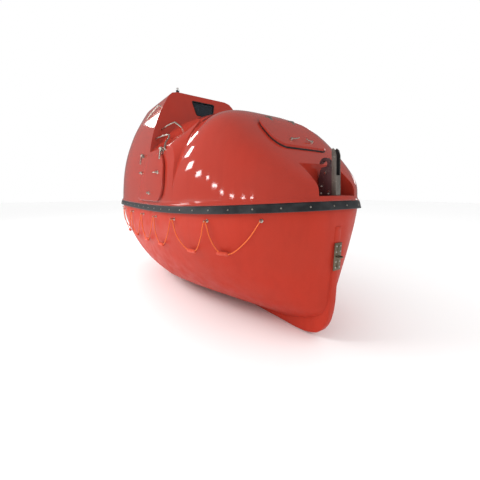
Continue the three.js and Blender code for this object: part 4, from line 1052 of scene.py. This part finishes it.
def bow_lid():
    def top(x, y):
        return skin_top(x, y) + CLEAR + LID_THICK
    fittings = []
    for side in (-1, 1):
        y = side * BOW_HINGE["y"]
        at = (BOW_HINGE["x"], y, BOW_HINGE_Z)
        points = [at] + [(BOW_HINGE["x"] + ahead, y, top(BOW_HINGE["x"] + ahead, y) + lift)
                         for ahead, lift in STRAP_POINTS]
        fittings += hinge_strap(at, "y", points)
        x, y = BOW_HANDLES["x"], side * BOW_HANDLES["y"]
        fittings += dog_handle((x, y, top(x, y) - 0.002), BOW_FACING, (0, -side * 0.9, 0.1))
    lid("bow_lid_panel", "bow_hatch", top_hatch_tool(BOW_HATCH, LID_LAP), fittings, "bow_hatch_lid",
        RAISED_UNDERSIDE)


def aft_lid():
    def top(x):
        return gunwale(x) + DOME_FOOT + tower_height(x, 0) + CLEAR + LID_THICK
    fittings = []
    for side in (-1, 1):
        y = side * AFT_HINGE["y"]
        at = (AFT_HINGE["x"], y, AFT_HINGE_Z)
        points = [at] + [(AFT_HINGE["x"] - back, y, top(AFT_HINGE["x"] - back) + lift)
                         for back, lift in STRAP_POINTS]
        fittings += hinge_strap(at, "y", points)
    x = AFT_HATCH["x"] - 0.15
    fittings += dog_handle((x, 0, top(x) - 0.002), (-0.45, 0, 0.89), (0, 1, 0))
    lid("aft_lid_panel", "aft_hatch", top_hatch_tool(AFT_HATCH, LID_LAP), fittings, "aft_hatch_lid",
        RAISED_UNDERSIDE)


SIDE_HANDLES = ((0.480, 1.176, -1), (-0.275, 1.206, 1), (0.140, 0.903, 1))


def side_lids():
    for side, word in SIDES:
        def outside(x, z):
            return tower_side(x, z) + CLEAR + LID_THICK
        fittings = []
        for end in (-1, 1):
            x = SIDE_HATCH["x"] + end * SIDE_HINGE["spread"]
            at = (x, side * SIDE_HINGE_Y, SIDE_HINGE["z"])
            low = SIDE_HATCH["z"] + SIDE_HATCH["tall"] / 2 - 0.06
            fittings += hinge_strap(at, "x", [at, (x, side * (outside(x, low) + 0.002), low)])
        for x, z, toward in SIDE_HANDLES:
            fittings += dog_handle((x, side * (outside(x, z) - 0.002), z), (0, side, 0.1), (toward, 0, 0))
        lid(f"side_lid_panel_{word}", f"side_hatch_{word}", side_hatch_tool(side, LID_LAP), fittings,
            f"side_hatch_lid_{word}", SKIN_CLEAR)


def hinges_and_seals():
    lugs = []
    for side in (-1, 1):
        lugs += hinge_lugs((BOW_HINGE["x"], side * BOW_HINGE["y"], BOW_HINGE_Z), "y", (-0.016, 0, -0.062))
        lugs += hinge_lugs((AFT_HINGE["x"], side * AFT_HINGE["y"], AFT_HINGE_Z), "y", (0.010, 0, -0.056))
        for end in (-1, 1):
            x = SIDE_HATCH["x"] + end * SIDE_HINGE["spread"]
            lugs += hinge_lugs((x, side * SIDE_HINGE_Y, SIDE_HINGE["z"]), "x", (0, -side * 0.060, -0.064))
    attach(merge("hatch_hinge_lugs", lugs), "hull")
    inner = SEAL_REACH["inner"]
    # The top lids' tall black seals are partly painted shadow under the lids' edges.
    seals = [hatch_seal(top_hatch_tool(hatch, SEAL_REACH["raised"]), top_hatch_tool(hatch, inner),
                        SEAL_AND_SHADOW_SKIN) for hatch in (BOW_HATCH, AFT_HATCH)]
    seals += [hatch_seal(side_hatch_tool(side, SEAL_REACH["close"]), side_hatch_tool(side, inner), SEAL_SKIN)
              for side in (-1, 1)]
    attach(merge("seals_and_shadow_bands", seals), "hull")


def recolour(node, look):
    """A solid that stays as it is gets a better look."""
    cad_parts[node].data.materials.clear()
    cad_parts[node].data.materials.append(look)


def window():
    recolour("front_window", PANE_LOOK)
    corners = []
    for y, z in WINDOW_OUTLINE:
        up = WINDOW_TOP_Z + z
        corners.append(Vector((TOWER_FRONT_X + TOWER_RAKE * (TOWER_TOP - up) + 0.002, y * 1.02, up)))
    line = []
    for i, corner in enumerate(corners):
        before, after = corners[i - 1], corners[(i + 1) % 4]
        start = corner + (before - corner).normalized() * WINDOW_CORNER
        end = corner + (after - corner).normalized() * WINDOW_CORNER
        for k in range(7):
            t = k / 6
            line.append((1 - t) ** 2 * start + 2 * t * (1 - t) * corner + t * t * end)
    gasket = tube("window_gasket", line, GASKET_RADIUS, SEAL_LOOK, 10, closed=True)
    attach(gasket, "hull")


# Hooks, lamp, rails and the plate on the stem

HOOK_PIVOT_X = 2.320
HOOK_PIVOT_Z = RECESS_FLOOR + 0.250
CHEEK_AFT = 2.236
CHEEK_FORE = 2.392
CHEEK_SPAN = (0.024, 0.032)  # of the starboard or port cheek, out from the middle
BEAK_HALF = 0.018
BASE_HALF = 0.064
BASE_THICK = 0.012
PIN_HALF = 0.041
BOLT_HEAD = ((0.5, -0.003), (1, -0.003), (1, 0.0045), (0.86, 0.0065), (0.4, 0.0068))
GUARD = {"long": 0.05, "tall": 0.485, "gap": 0.010, "flange": 0.008, "chamfer": 0.014}
# Thin black sheets on the inner faces of the guard's flanges: painted shade inside the channel.
SHADE_LINING = {"gap": 0.0085, "thick": 0.002, "back": 0.004}
JAW = {"x": -0.020, "z": 0.092, "radius": 0.062, "mouth": 0.030, "tail": 0.034, "bore": 0.0127}


def hexagon_bolt(at, out, size=0.010):
    profile = [(size * share, height) for share, height in BOLT_HEAD]
    return turned("bolt", profile, at, out, ZINC_LOOK, 6)


def hook_cheeks(toward, word):
    px, pz = HOOK_PIVOT_X, HOOK_PIVOT_Z
    low = RECESS_FLOOR + FIT
    top = low + BASE_THICK
    outline = [(CHEEK_AFT + 0.006, top - 0.002), (CHEEK_AFT, pz - 0.06), (CHEEK_AFT + 0.022, pz + 0.034),
               (CHEEK_AFT + 0.060, pz + 0.056), (CHEEK_FORE - 0.020, pz + 0.056),
               (CHEEK_FORE, pz + 0.030), (CHEEK_FORE, top - 0.002)]
    outline = [(toward * x, z) for x, z in outline]
    parts = [block("base", ordered(toward, CHEEK_AFT - 0.012, CHEEK_FORE + 0.054), (-BASE_HALF, BASE_HALF),
                   (low, top), BROWN_LOOK, 0.002)]
    bolts = ((CHEEK_AFT + 0.04, pz - 0.13), (CHEEK_FORE - 0.035, pz - 0.20), (CHEEK_AFT + 0.035, low + 0.05))
    for side in (-1, 1):
        parts.append(slab("cheek", outline, "xz", *ordered(side, *CHEEK_SPAN), BROWN_LOOK, 0.0015))
        for x, z in bolts:
            parts.append(hexagon_bolt((toward * x, side * CHEEK_SPAN[1], z), (0, side, 0)))
        for x in (CHEEK_AFT + 0.006, CHEEK_FORE + 0.036):
            parts.append(hexagon_bolt((toward * x, side * 0.050, top), (0, 0, 1), 0.009))
    for x, z, radius in ((px, pz, 0.012), (px + 0.04, top + 0.06, 0.009)):
        ends = [(toward * x, way * PIN_HALF, z) for way in (-1, 1)]
        parts.append(rod("pin", ends[0], ends[1], radius, STEEL_LOOK, edge=0.0015))
    cheeks = merge(f"{word}_hook_frame", parts)
    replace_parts(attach(cheeks, "hull"), f"{word}_hook_cheeks")


def hook_guard(toward, word):
    """A steel channel ahead of the hook, open at its top, with thin black sheets inside its flanges as
    painted shade.
    """
    low = RECESS_FLOOR + 2 * FIT + BASE_THICK
    near = CHEEK_FORE + FIT
    far = near + GUARD["long"]
    high = RECESS_FLOOR + GUARD["tall"]
    chamfer = GUARD["chamfer"]
    outline = [(near, low), (far, low), (far, high - 0.07), (far - chamfer, high - 0.02),
               (near + chamfer, high), (near, high - chamfer)]
    outline = [(toward * x, z) for x, z in outline]
    # Black sheets just inside each flange, painted shade for the channel's dark inside.
    shade_lining = [(x - toward * SHADE_LINING["back"], z) for x, z in outline]
    parts = []
    for side in (-1, 1):
        inner = BEAK_HALF + GUARD["gap"]
        parts.append(slab("flange", outline, "xz", *ordered(side, inner, inner + GUARD["flange"]),
                          GUARD_LOOK, 0.002))
        inner = BEAK_HALF + SHADE_LINING["gap"]
        parts.append(slab("shade_lining", shade_lining, "xz", *ordered(side, inner, inner + SHADE_LINING["thick"]),
                          SEAL_LOOK, 0.0005))
    web = block("web", ordered(toward, far - GUARD["flange"], far), (-BEAK_HALF - 0.012, BEAK_HALF + 0.012),
                (low, HOOK_PIVOT_Z - 0.026), GUARD_LOOK, 0.001)
    guard = merge(f"{word}_hook_channel", parts + [web])
    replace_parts(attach(guard, "hull"), f"{word}_hook_guard")


def hook_beak(toward, word):
    """The jaw: a disc with a mouth cut into it, and a tail round the pivot."""
    px, pz = HOOK_PIVOT_X, HOOK_PIVOT_Z
    cx, cz = px + JAW["x"], pz + JAW["z"]

    def disc(x, z, radius, wide=BEAK_HALF):
        return rod("disc", (toward * x, -wide, z), (toward * x, wide, z), radius, BROWN_LOOK, 40)

    def flat(points, wide=BEAK_HALF):
        return slab("flat", [(toward * x, z) for x, z in points], "xz", -wide, wide, BROWN_LOOK)

    beak = disc(cx, cz, JAW["radius"])
    unite(beak, disc(px, pz, JAW["tail"]))
    unite(beak, flat([(px - 0.034, pz), (px + 0.034, pz), (cx + 0.058, cz), (cx - 0.020, cz - 0.046)]))
    unite(beak, flat([(px - 0.020, pz), (px - 0.010, pz - 0.078), (px + 0.018, pz - 0.078),
                      (px + 0.030, pz)]))
    cut(beak, disc(cx, cz, JAW["mouth"], 0.03))
    cut(beak, flat([(cx + 0.006, cz - 0.028), (cx - 0.090, cz - 0.046), (cx - 0.090, cz - 0.006),
                    (cx - 0.022, cz + 0.012)], 0.03))
    cut(beak, disc(px, pz, JAW["bore"], 0.03))
    beak.name = f"{word}_hook_jaw"
    dress(shade(beak, 30), BROWN_LOOK)
    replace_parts(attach(beak, f"{word}_hook"), f"{word}_hook_beak")


PAINTER = {"low": 0.175, "high": 0.440, "half": 0.052, "thick": 0.010, "bolts": 0.030}
PAINTER_EYE = ((0, -0.024), (0.034, -0.022), (0.046, 0), (0.034, 0.022), (0, 0.024))
RIB = {"half": 0.006, "from": 0.008, "to": 0.018}


def stem_face(z):
    """The stem's face on its straight stretch, with a hair's gap."""
    (x1, z1), (x2, z2) = STEM_PROFILE[1:3]
    return x1 - (z1 - z) * (x1 - x2) / (z1 - z2) + 0.0006


def painter_plate():
    low, high, half = PAINTER["low"], PAINTER["high"], PAINTER["half"]
    outline = [(stem_face(low), low), (stem_face(low) + PAINTER["thick"], low),
               (stem_face(high) + PAINTER["thick"], high), (stem_face(high), high)]
    parts = [slab("plate", outline, "xz", -half, half, PLATE_LOOK, 0.002)]
    middle = (low + high) / 2
    x = stem_face(middle) + 0.006
    eye = smooth_path([(x + out, y, middle) for out, y in PAINTER_EYE], 8)
    parts.append(tube("eye", eye, 0.008, PLATE_LOOK, 12))
    for y in (-PAINTER["bolts"], PAINTER["bolts"]):
        for z in (low + 0.03, low + 0.085, high - 0.085, high - 0.03):
            parts.append(hexagon_bolt((stem_face(z) + PAINTER["thick"], y, z), (1, 0, 0.08), 0.008))
    for z0, z1 in ((low + 0.02, middle - 0.028), (middle + 0.028, high - 0.02)):
        parts.append(block("rib", (stem_face(z0) + RIB["from"], stem_face(z0) + RIB["to"]),
                           (-RIB["half"], RIB["half"]), (z0, z1), PLATE_LOOK, 0.002))
    plate = merge("stem_plate", parts)
    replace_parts(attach(plate, "hull"), "painter_plate")


RAIL_RADIUS = 0.0115
RAILS = {
    "upper": ((-0.235, -0.812, 1.880), (-0.180, -0.804, 1.886), (0.060, -0.775, 1.916),
              (0.215, -0.745, 1.930), (0.262, -0.735, 1.915), (0.300, -0.690, 1.870),
              (0.315, -0.662, 1.842)),
    "lower": ((-0.205, -0.905, 1.725), (-0.150, -0.903, 1.728), (0.130, -0.896, 1.724),
              (0.350, -0.888, 1.712), (0.405, -0.890, 1.696), (0.458, -0.917, 1.645),
              (0.524, -0.983, 1.565), (0.590, -1.018, 1.500), (0.592, -1.012, 1.468),
              (0.588, -0.985, 1.448)),
    "tower": ((-0.420, -0.690, 2.330), (-0.440, -0.745, 2.345), (-0.500, -0.752, 2.340),
              (-0.760, -0.770, 2.290), (-0.930, -0.785, 2.240), (-0.985, -0.780, 2.215),
              (-1.000, -0.730, 2.190)),
}


def rails():
    for side, word in SIDES:
        for place, points in RAILS.items():
            line = smooth_path([(x, -side * y, z) for x, y, z in points], 8)
            bar = tube(f"{place}_grab_bar_{word}", line, RAIL_RADIUS, STEEL_LOOK, 16)
            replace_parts(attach(bar, "hull"), f"{place}_rail_{word}")


LAMP_PLACE = (-0.4, -0.44, TOWER_TOP)
LENS_LIFT = 0.0463
LAMP_BASE = ((0.030, -0.02), (0.034, 0.0), (0.034, 0.012), (0.028, 0.016), (0.026, 0.040), (0.030, 0.043),
             (0.030, 0.046))
LAMP_LENS = ((0.020, 0.0), (0.026, 0.002), (0.026, 0.026), (0.0235, 0.038), (0.018, 0.048), (0.010, 0.054),
             (0.003, 0.056))


def lamp():
    x, y, top = LAMP_PLACE
    foot = turned("lamp_foot", LAMP_BASE, (x, y, top), (0, 0, 1), DARK_LOOK, 32)
    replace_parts(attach(foot, "hull"), "lamp_base")
    globe = turned("lamp_globe", LAMP_LENS, (x, y, top + LENS_LIFT), (0, 0, 1), LENS_LOOK, 32)
    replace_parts(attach(globe, "hull"), "lamp_lens")


# Screw and rudder

BLADE = {"root": 0.03, "tip": 0.175, "chord": 0.125, "thick": 0.011}
BLADE_PLACE = {"x": -1.955, "rake": 0.105, "least": 0.05}
HUB = ((0.02, 0.0), (0.040, 0.004), (0.042, 0.012), (0.041, 0.060), (0.034, 0.090), (0.024, 0.106),
       (0.008, 0.112))
SHAFT = {"fore": -1.645, "aft": -1.91, "hub": -1.9, "radius": 0.018}
BLADES = 3
BLADE_STATIONS = 12
BLADE_SIDES = 20


def blade(start):
    """A twisted blade, built up in sections from the hub to its tip."""
    rings = []
    for i in range(BLADE_STATIONS + 1):
        share = i / BLADE_STATIONS
        radius = BLADE["root"] + (BLADE["tip"] - BLADE["root"]) * share
        chord = BLADE["chord"] * (0.48 + 1.35 * share - 1.25 * share ** 2) * (1 - share ** 9) + 0.006
        thick = BLADE["thick"] * (1 - 0.7 * share)
        angle = math.atan2(BLADE_PLACE["rake"], radius)
        ring = []
        for a in turns(BLADE_SIDES):
            along, over = chord / 2 * math.cos(a), thick / 2 * math.sin(a)
            fore = along * math.sin(angle) + over * math.cos(angle)
            round_hub = along * math.cos(angle) - over * math.sin(angle)
            turn = round_hub / max(radius, BLADE_PLACE["least"]) + start
            ring.append((BLADE_PLACE["x"] + fore, radius * math.cos(turn),
                         STERN_TUBE_Z + radius * math.sin(turn)))
        rings.append(ring)
    return loft("blade", rings, BRONZE_LOOK, angle=60)


def propeller():
    z = STERN_TUBE_Z
    parts = [turned("hub", HUB, (SHAFT["hub"], 0, z), (-1, 0, 0), BRONZE_LOOK, 32),
             rod("shaft", (SHAFT["fore"], 0, z), (SHAFT["aft"], 0, z), SHAFT["radius"], STEEL_LOOK)]
    parts += [blade(2 * math.pi * k / BLADES + math.pi / 2) for k in range(BLADES)]
    screw = merge("screw_propeller", parts)
    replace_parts(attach(screw, "screw"), "propeller")


GUARD_SECTION = ((0.197, -1.908), (0.204, -1.9052), (0.211, -1.910), (0.213, -1.925), (0.2125, -2.000),
                 (0.209, -2.0145), (0.203, -2.0145), (0.1955, -2.000), (0.195, -1.925))
GUARD_FOOT = {"x": (-2.005, -1.915), "y": (-0.024, 0.024), "reach": 0.205}


def propeller_guard():
    """A hoop round the blades, on a foot that stands on the rudder's heel."""
    rings = [[(x, r * math.cos(a), STERN_TUBE_Z + r * math.sin(a)) for r, x in GUARD_SECTION]
             for a in turns(72)]
    hoop = loft("hoop", rings, HULL_LOOK, closed=True, angle=40)
    high = STERN_TUBE_Z - GUARD_FOOT["reach"]
    foot = block("foot", GUARD_FOOT["x"], GUARD_FOOT["y"], (HEEL_TOP + FIT, high), HULL_LOOK, 0.005)
    guard = merge("screw_guard", [hoop, foot])
    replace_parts(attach(guard, "hull"), "propeller_guard")


RUDDER = {"fore": -2.13, "aft": -2.44, "low": -0.495, "high": 0.06, "half": 0.015}
RUDDER_BAND = {"long": 0.16, "tall": 0.034, "span": (0.012, 0.019)}
STOCK = {"top": 0.396, "radius": 0.020}
PINTLE = {"bottom": KEEL_Z + 0.017, "radius": 0.012}


def rudder():
    fore, aft, low, high, half = RUDDER.values()
    outline = [(fore, low + 0.02), (fore - 0.02, low), (aft + 0.06, low), (aft, low + 0.07),
               (aft + 0.03, high - 0.06), (aft + 0.09, high), (fore, high)]
    parts = [slab("blade", outline, "xz", -half, half, HULL_LOOK, 0.0105),
             rod("stock", (RUDDER_X, 0, low + 0.2), (RUDDER_X, 0, STOCK["top"]), STOCK["radius"],
                 STEEL_LOOK),
             rod("pintle", (RUDDER_X, 0, PINTLE["bottom"]), (RUDDER_X, 0, low + 0.06), PINTLE["radius"],
                 STEEL_LOOK)]
    long, tall, span = RUDDER_BAND.values()
    for z in (low + 0.16, high - 0.12):
        band = [(fore - 0.004, z), (fore - long, z), (fore - long, z + tall), (fore - 0.004, z + tall)]
        for side in (-1, 1):
            parts.append(slab("band", band, "xz", *ordered(side, *span), STEEL_LOOK, 0.002))
            for back in (0.03, 0.13):
                at = (fore - back, side * span[1], z + tall / 2)
                parts.append(hexagon_bolt(at, (0, side, 0), 0.007))
    assembly = merge("rudder_assembly", parts)
    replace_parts(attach(assembly, "rudder_blade"), "rudder")


# Inside

def cushion(name, low, high, crown):
    """A crowned pad: a box of many faces whose middle swells and whose edges pull in."""
    low, high = Vector(low), Vector(high)
    centre, half = (low + high) / 2, (high - low) / 2
    work = bmesh.new()
    bmesh.ops.create_cube(work, size=2.0)
    bmesh.ops.subdivide_edges(work, edges=work.edges, cuts=9, use_grid_fill=True)
    for vertex in work.verts:
        a = vertex.co.copy()
        reach = [1 - abs(value) ** 4 for value in a]
        for k in range(3):
            others = [reach[j] for j in range(3) if j != k]
            a[k] *= 1 - crown * (1 - others[0] * others[1]) ** 2
        vertex.co = centre + Vector((a[k] * half[k] for k in range(3)))
    mesh = bpy.data.meshes.new(name)
    work.to_mesh(mesh)
    work.free()
    piece = link(bpy.data.objects.new(name, mesh))
    mesh.materials.append(DARK_LOOK)
    modifier = piece.modifiers.new("smooth", "SUBSURF")
    modifier.levels = modifier.render_levels = 1
    return shade(settle(piece), 60)


SEAT = {"x": -1.01, "floor": 0.3503, "pan": 1.48, "half": 0.2}
SEAT_FOOT = ((0.06, 0), (0.12, 0), (0.12, 0.008), (0.10, 0.014), (0.05, 0.03), (0.045, 0.06), (0.02, 0.06))
CONSOLE = {"aft": -0.62, "fore": -0.45, "half": 0.22, "bottom": 1.3, "top": 1.7}
CONSOLE_LEG = {"x": -0.535, "y": 0.15, "low": -0.1297, "radius": 0.022}
DIAL = ((0.012, 0), (0.026, 0), (0.026, 0.005), (0.022, 0.006), (0.022, 0.003), (0.004, 0.003))
DIAL_Y = (0.10, 0.17)
DIAL_Z = 1.63
WHEEL = {"x": CONSOLE["aft"] - 0.0005, "z": 1.56, "radius": 0.15, "out": 0.06}
WHEEL_HUB = ((0.02, 0), (0.034, 0.001), (0.032, 0.02), (0.028, 0.06), (0.024, 0.069), (0.008, 0.0705))


def helm_seat():
    x, low, pan, half = SEAT.values()
    seat = cushion("seat_cushion", (x - half, -half, pan), (x + half, half, pan + 0.08), 0.14)
    back = cushion("seat_back", (x - half, -half, pan + 0.085), (x - half + 0.07, half, pan + 0.48), 0.14)
    for pad in (seat, back):
        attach(pad, "hull")
    post = merge("seat_post", [
        turned("foot", SEAT_FOOT, (x, 0, low), (0, 0, 1), GREY_LOOK, 32),
        rod("post", (x, 0, low + 0.02), (x, 0, pan - 0.01), 0.045, STEEL_LOOK, 24),
        block("pan", (x - 0.17, x + 0.17), (-0.17, 0.17), (pan - 0.02, pan + 0.006), GREY_LOOK, 0.005),
        block("stay", (x - 0.19, x - 0.176), (-0.03, 0.03), (pan - 0.015, pan + 0.30), STEEL_LOOK, 0.003)])
    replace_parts(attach(post, "hull"), "helm_seat")


def helm_console():
    aft, fore, half, bottom, top = CONSOLE.values()
    outline = [(aft, bottom), (fore, bottom), (fore, top + 0.04), (aft, top)]
    parts = [slab("body", outline, "xz", -half, half, GREY_LOOK, 0.012)]
    for side in (-1, 1):
        x, y = CONSOLE_LEG["x"], side * CONSOLE_LEG["y"]
        parts.append(rod("leg", (x, y, CONSOLE_LEG["low"]), (x, y, bottom + 0.02), CONSOLE_LEG["radius"],
                         STEEL_LOOK))
        for y in DIAL_Y:
            parts.append(turned("dial", DIAL, (aft, side * y, DIAL_Z), (-1, 0, 0), DARK_LOOK))
    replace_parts(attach(merge("console", parts), "hull"), "helm_console")


def steering_wheel():
    x, z, radius = WHEEL["x"], WHEEL["z"], WHEEL["radius"]

    def on_wheel(a, reach):
        return Vector((x - WHEEL["out"], reach * math.cos(a), z + reach * math.sin(a)))

    rim = [on_wheel(a, radius) for a in turns(64)]
    parts = [tube("rim", rim, 0.0115, DARK_LOOK, 14, closed=True),
             turned("hub", WHEEL_HUB, (x, 0, z), (-1, 0, 0), DARK_LOOK)]
    for k in range(3):
        a = math.pi / 2 + 2 * math.pi * k / 3
        parts.append(rod("spoke", on_wheel(a, 0.02), on_wheel(a, radius), 0.008, STEEL_LOOK, 16))
    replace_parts(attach(merge("steering_wheel", parts), "wheel"), "helm_wheel")


def inside():
    for node in ("cabin_floor", "bench_starboard", "bench_port"):
        recolour(node, PALE_LOOK)
    recolour("engine_block", GREY_LOOK)
    helm_seat()
    helm_console()
    steering_wheel()


# Floor, light and background

FLOOR_HALF = 40.0
# Lights: heading and height from the boat in degrees, width and height in metres, watts
WINDOW_LIGHTS = (
    (-172, 28, 0.9, 1.4, 45), (-152, 22, 1.1, 1.0, 38), (-138, 13.2, 1.2, 0.65, 27),
    (-124.5, 7.1, 0.8, 0.4, 14), (-115.4, 5.0, 0.4, 0.18, 5), (-109.1, 2.3, 0.7, 0.16, 7),
    (-102.9, 0.3, 0.45, 0.1, 4),
    (-93.4, -0.7, 0.6, 0.08, 5), (-82.3, -1.2, 0.6, 0.08, 5), (-73.4, -1.2, 0.5, 0.07, 4),
    (125, 22, 2.4, 1.0, 16), (95, 12, 1.8, 0.8, 10),
)
SOFT_LIGHTS = (  # these aren't seen in the gloss
    (-118, 32, 5.0, 3.5, 620), (28, 38, 6.5, 4.5, 100),
)
SKY_BRIGHT = (1.22, 0.84)  # evenly spread light from behind the boat and from ahead of it
HALL_BRIGHT = 0.24  # what the gloss mirrors where no window is
WINDOW_DISTANCE = 10.0
LIGHT_CENTRE = Vector((0.6, 0.0, 0.9))


def area_light(place, size, power, name):
    data = bpy.data.lights.new(name, "AREA")
    data.shape = "RECTANGLE"
    data.size, data.size_y = size
    data.energy = power
    light = link(bpy.data.objects.new(name, data))
    light.location = place
    light.rotation_euler = (LIGHT_CENTRE - place).to_track_quat("-Z", "Y").to_euler()
    light.visible_camera = False
    return light


def seen_from_boat(heading, height):
    flat = math.cos(math.radians(height))
    way = Vector((flat * math.cos(math.radians(heading)), flat * math.sin(math.radians(heading)),
                  math.sin(math.radians(height))))
    return LIGHT_CENTRE + WINDOW_DISTANCE * way


def lights():
    """A row of windows along the hall, which the gloss mirrors, and two wide soft lights."""
    for rows, name, mirrored in ((WINDOW_LIGHTS, "window_light", True), (SOFT_LIGHTS, "soft_light", False)):
        for k, (heading, height, wide, tall, power) in enumerate(rows):
            light = area_light(seen_from_boat(heading, height), (wide, tall), power, f"{name}_{k}")
            light.visible_glossy = mirrored


def surroundings():
    """White for the camera, even soft light for the boat, and a dim hall in its gloss."""
    world = bpy.data.worlds.new("studio")
    bpy.context.scene.world = world
    world.use_nodes = True
    tree = world.node_tree

    def backdrop(colour_value, strength):
        node = tree.nodes.new("ShaderNodeBackground")
        node.inputs["Color"].default_value = (*colour_value, 1)
        node.inputs["Strength"].default_value = strength
        return node.outputs[0]

    def choose(share, first, second):
        node = tree.nodes.new("ShaderNodeMixShader")
        tree.links.new(share, node.inputs[0])
        tree.links.new(first, node.inputs[1])
        tree.links.new(second, node.inputs[2])
        return node.outputs[0]

    rays = tree.nodes.new("ShaderNodeLightPath")
    place = tree.nodes.new("ShaderNodeTexCoord")
    parts = tree.nodes.new("ShaderNodeSeparateXYZ")
    spread = tree.nodes.new("ShaderNodeMapRange")
    tree.links.new(place.outputs["Generated"], parts.inputs[0])
    tree.links.new(parts.outputs["X"], spread.inputs["Value"])
    for socket, value in zip(("From Min", "From Max", "To Min", "To Max"), (-1, 1, *SKY_BRIGHT)):
        spread.inputs[socket].default_value = value
    soft = tree.nodes.new("ShaderNodeBackground")
    tree.links.new(spread.outputs["Result"], soft.inputs["Strength"])
    soft.inputs["Color"].default_value = (1, 1, 1, 1)
    lit = choose(rays.outputs["Is Glossy Ray"], soft.outputs[0], backdrop((1, 0.97, 0.96), HALL_BRIGHT))
    seen = choose(rays.outputs["Is Camera Ray"], lit, backdrop((1, 1, 1), 1.0))
    tree.links.new(seen, tree.nodes["World Output"].inputs["Surface"])


def studio():
    corners = [(FLOOR_HALF * x, FLOOR_HALF * y) for x, y in ((-1, -1), (1, -1), (1, 1), (-1, 1))]
    top, bottom = KEEL_Z - 0.001, KEEL_Z - 0.1
    floor = loft("floor", [[(x, y, top) for x, y in corners], [(x, y, bottom) for x, y in corners]])
    look = Recipe("studio_floor")
    pale = (0.95, 0.95, 0.95, 1)
    floor.data.materials.append(look.set(Base_Color=pale, Roughness=0.9, Specular_IOR_Level=0.1))
    surroundings()
    lights()
    bpy.context.scene.view_settings.view_transform = "Standard"


place_camera()
lifelines()
lifeline_eyes()
hull()
strake()
canopy()
CANOPY_FORM = canopy_form(0, TOOL_FOOT)
SKIN_CLEAR = canopy_form(-CLEAR, TOOL_FOOT)
SEAL_SKIN = canopy_form(-CLEAR + SEAL_SINK["close"], TOOL_FOOT)
RAISED_UNDERSIDE = canopy_form(-RAISED_CLEAR, TOOL_FOOT)
# Skin for the top lids' tall seals, which are partly painted shadow.
SEAL_AND_SHADOW_SKIN = canopy_form(-RAISED_CLEAR + SEAL_SINK["raised"], TOOL_FOOT)
LID_SKIN = canopy_form(-CLEAR - LID_THICK, TOOL_FOOT)
bow_lid()
aft_lid()
side_lids()
hinges_and_seals()
discard(CANOPY_FORM, SKIN_CLEAR, SEAL_SKIN, RAISED_UNDERSIDE, SEAL_AND_SHADOW_SKIN, LID_SKIN)
window()
for toward, word in ENDS:
    hook_cheeks(toward, word)
    hook_guard(toward, word)
    hook_beak(toward, word)
painter_plate()
rails()
lamp()
propeller()
propeller_guard()
rudder()
inside()
studio()
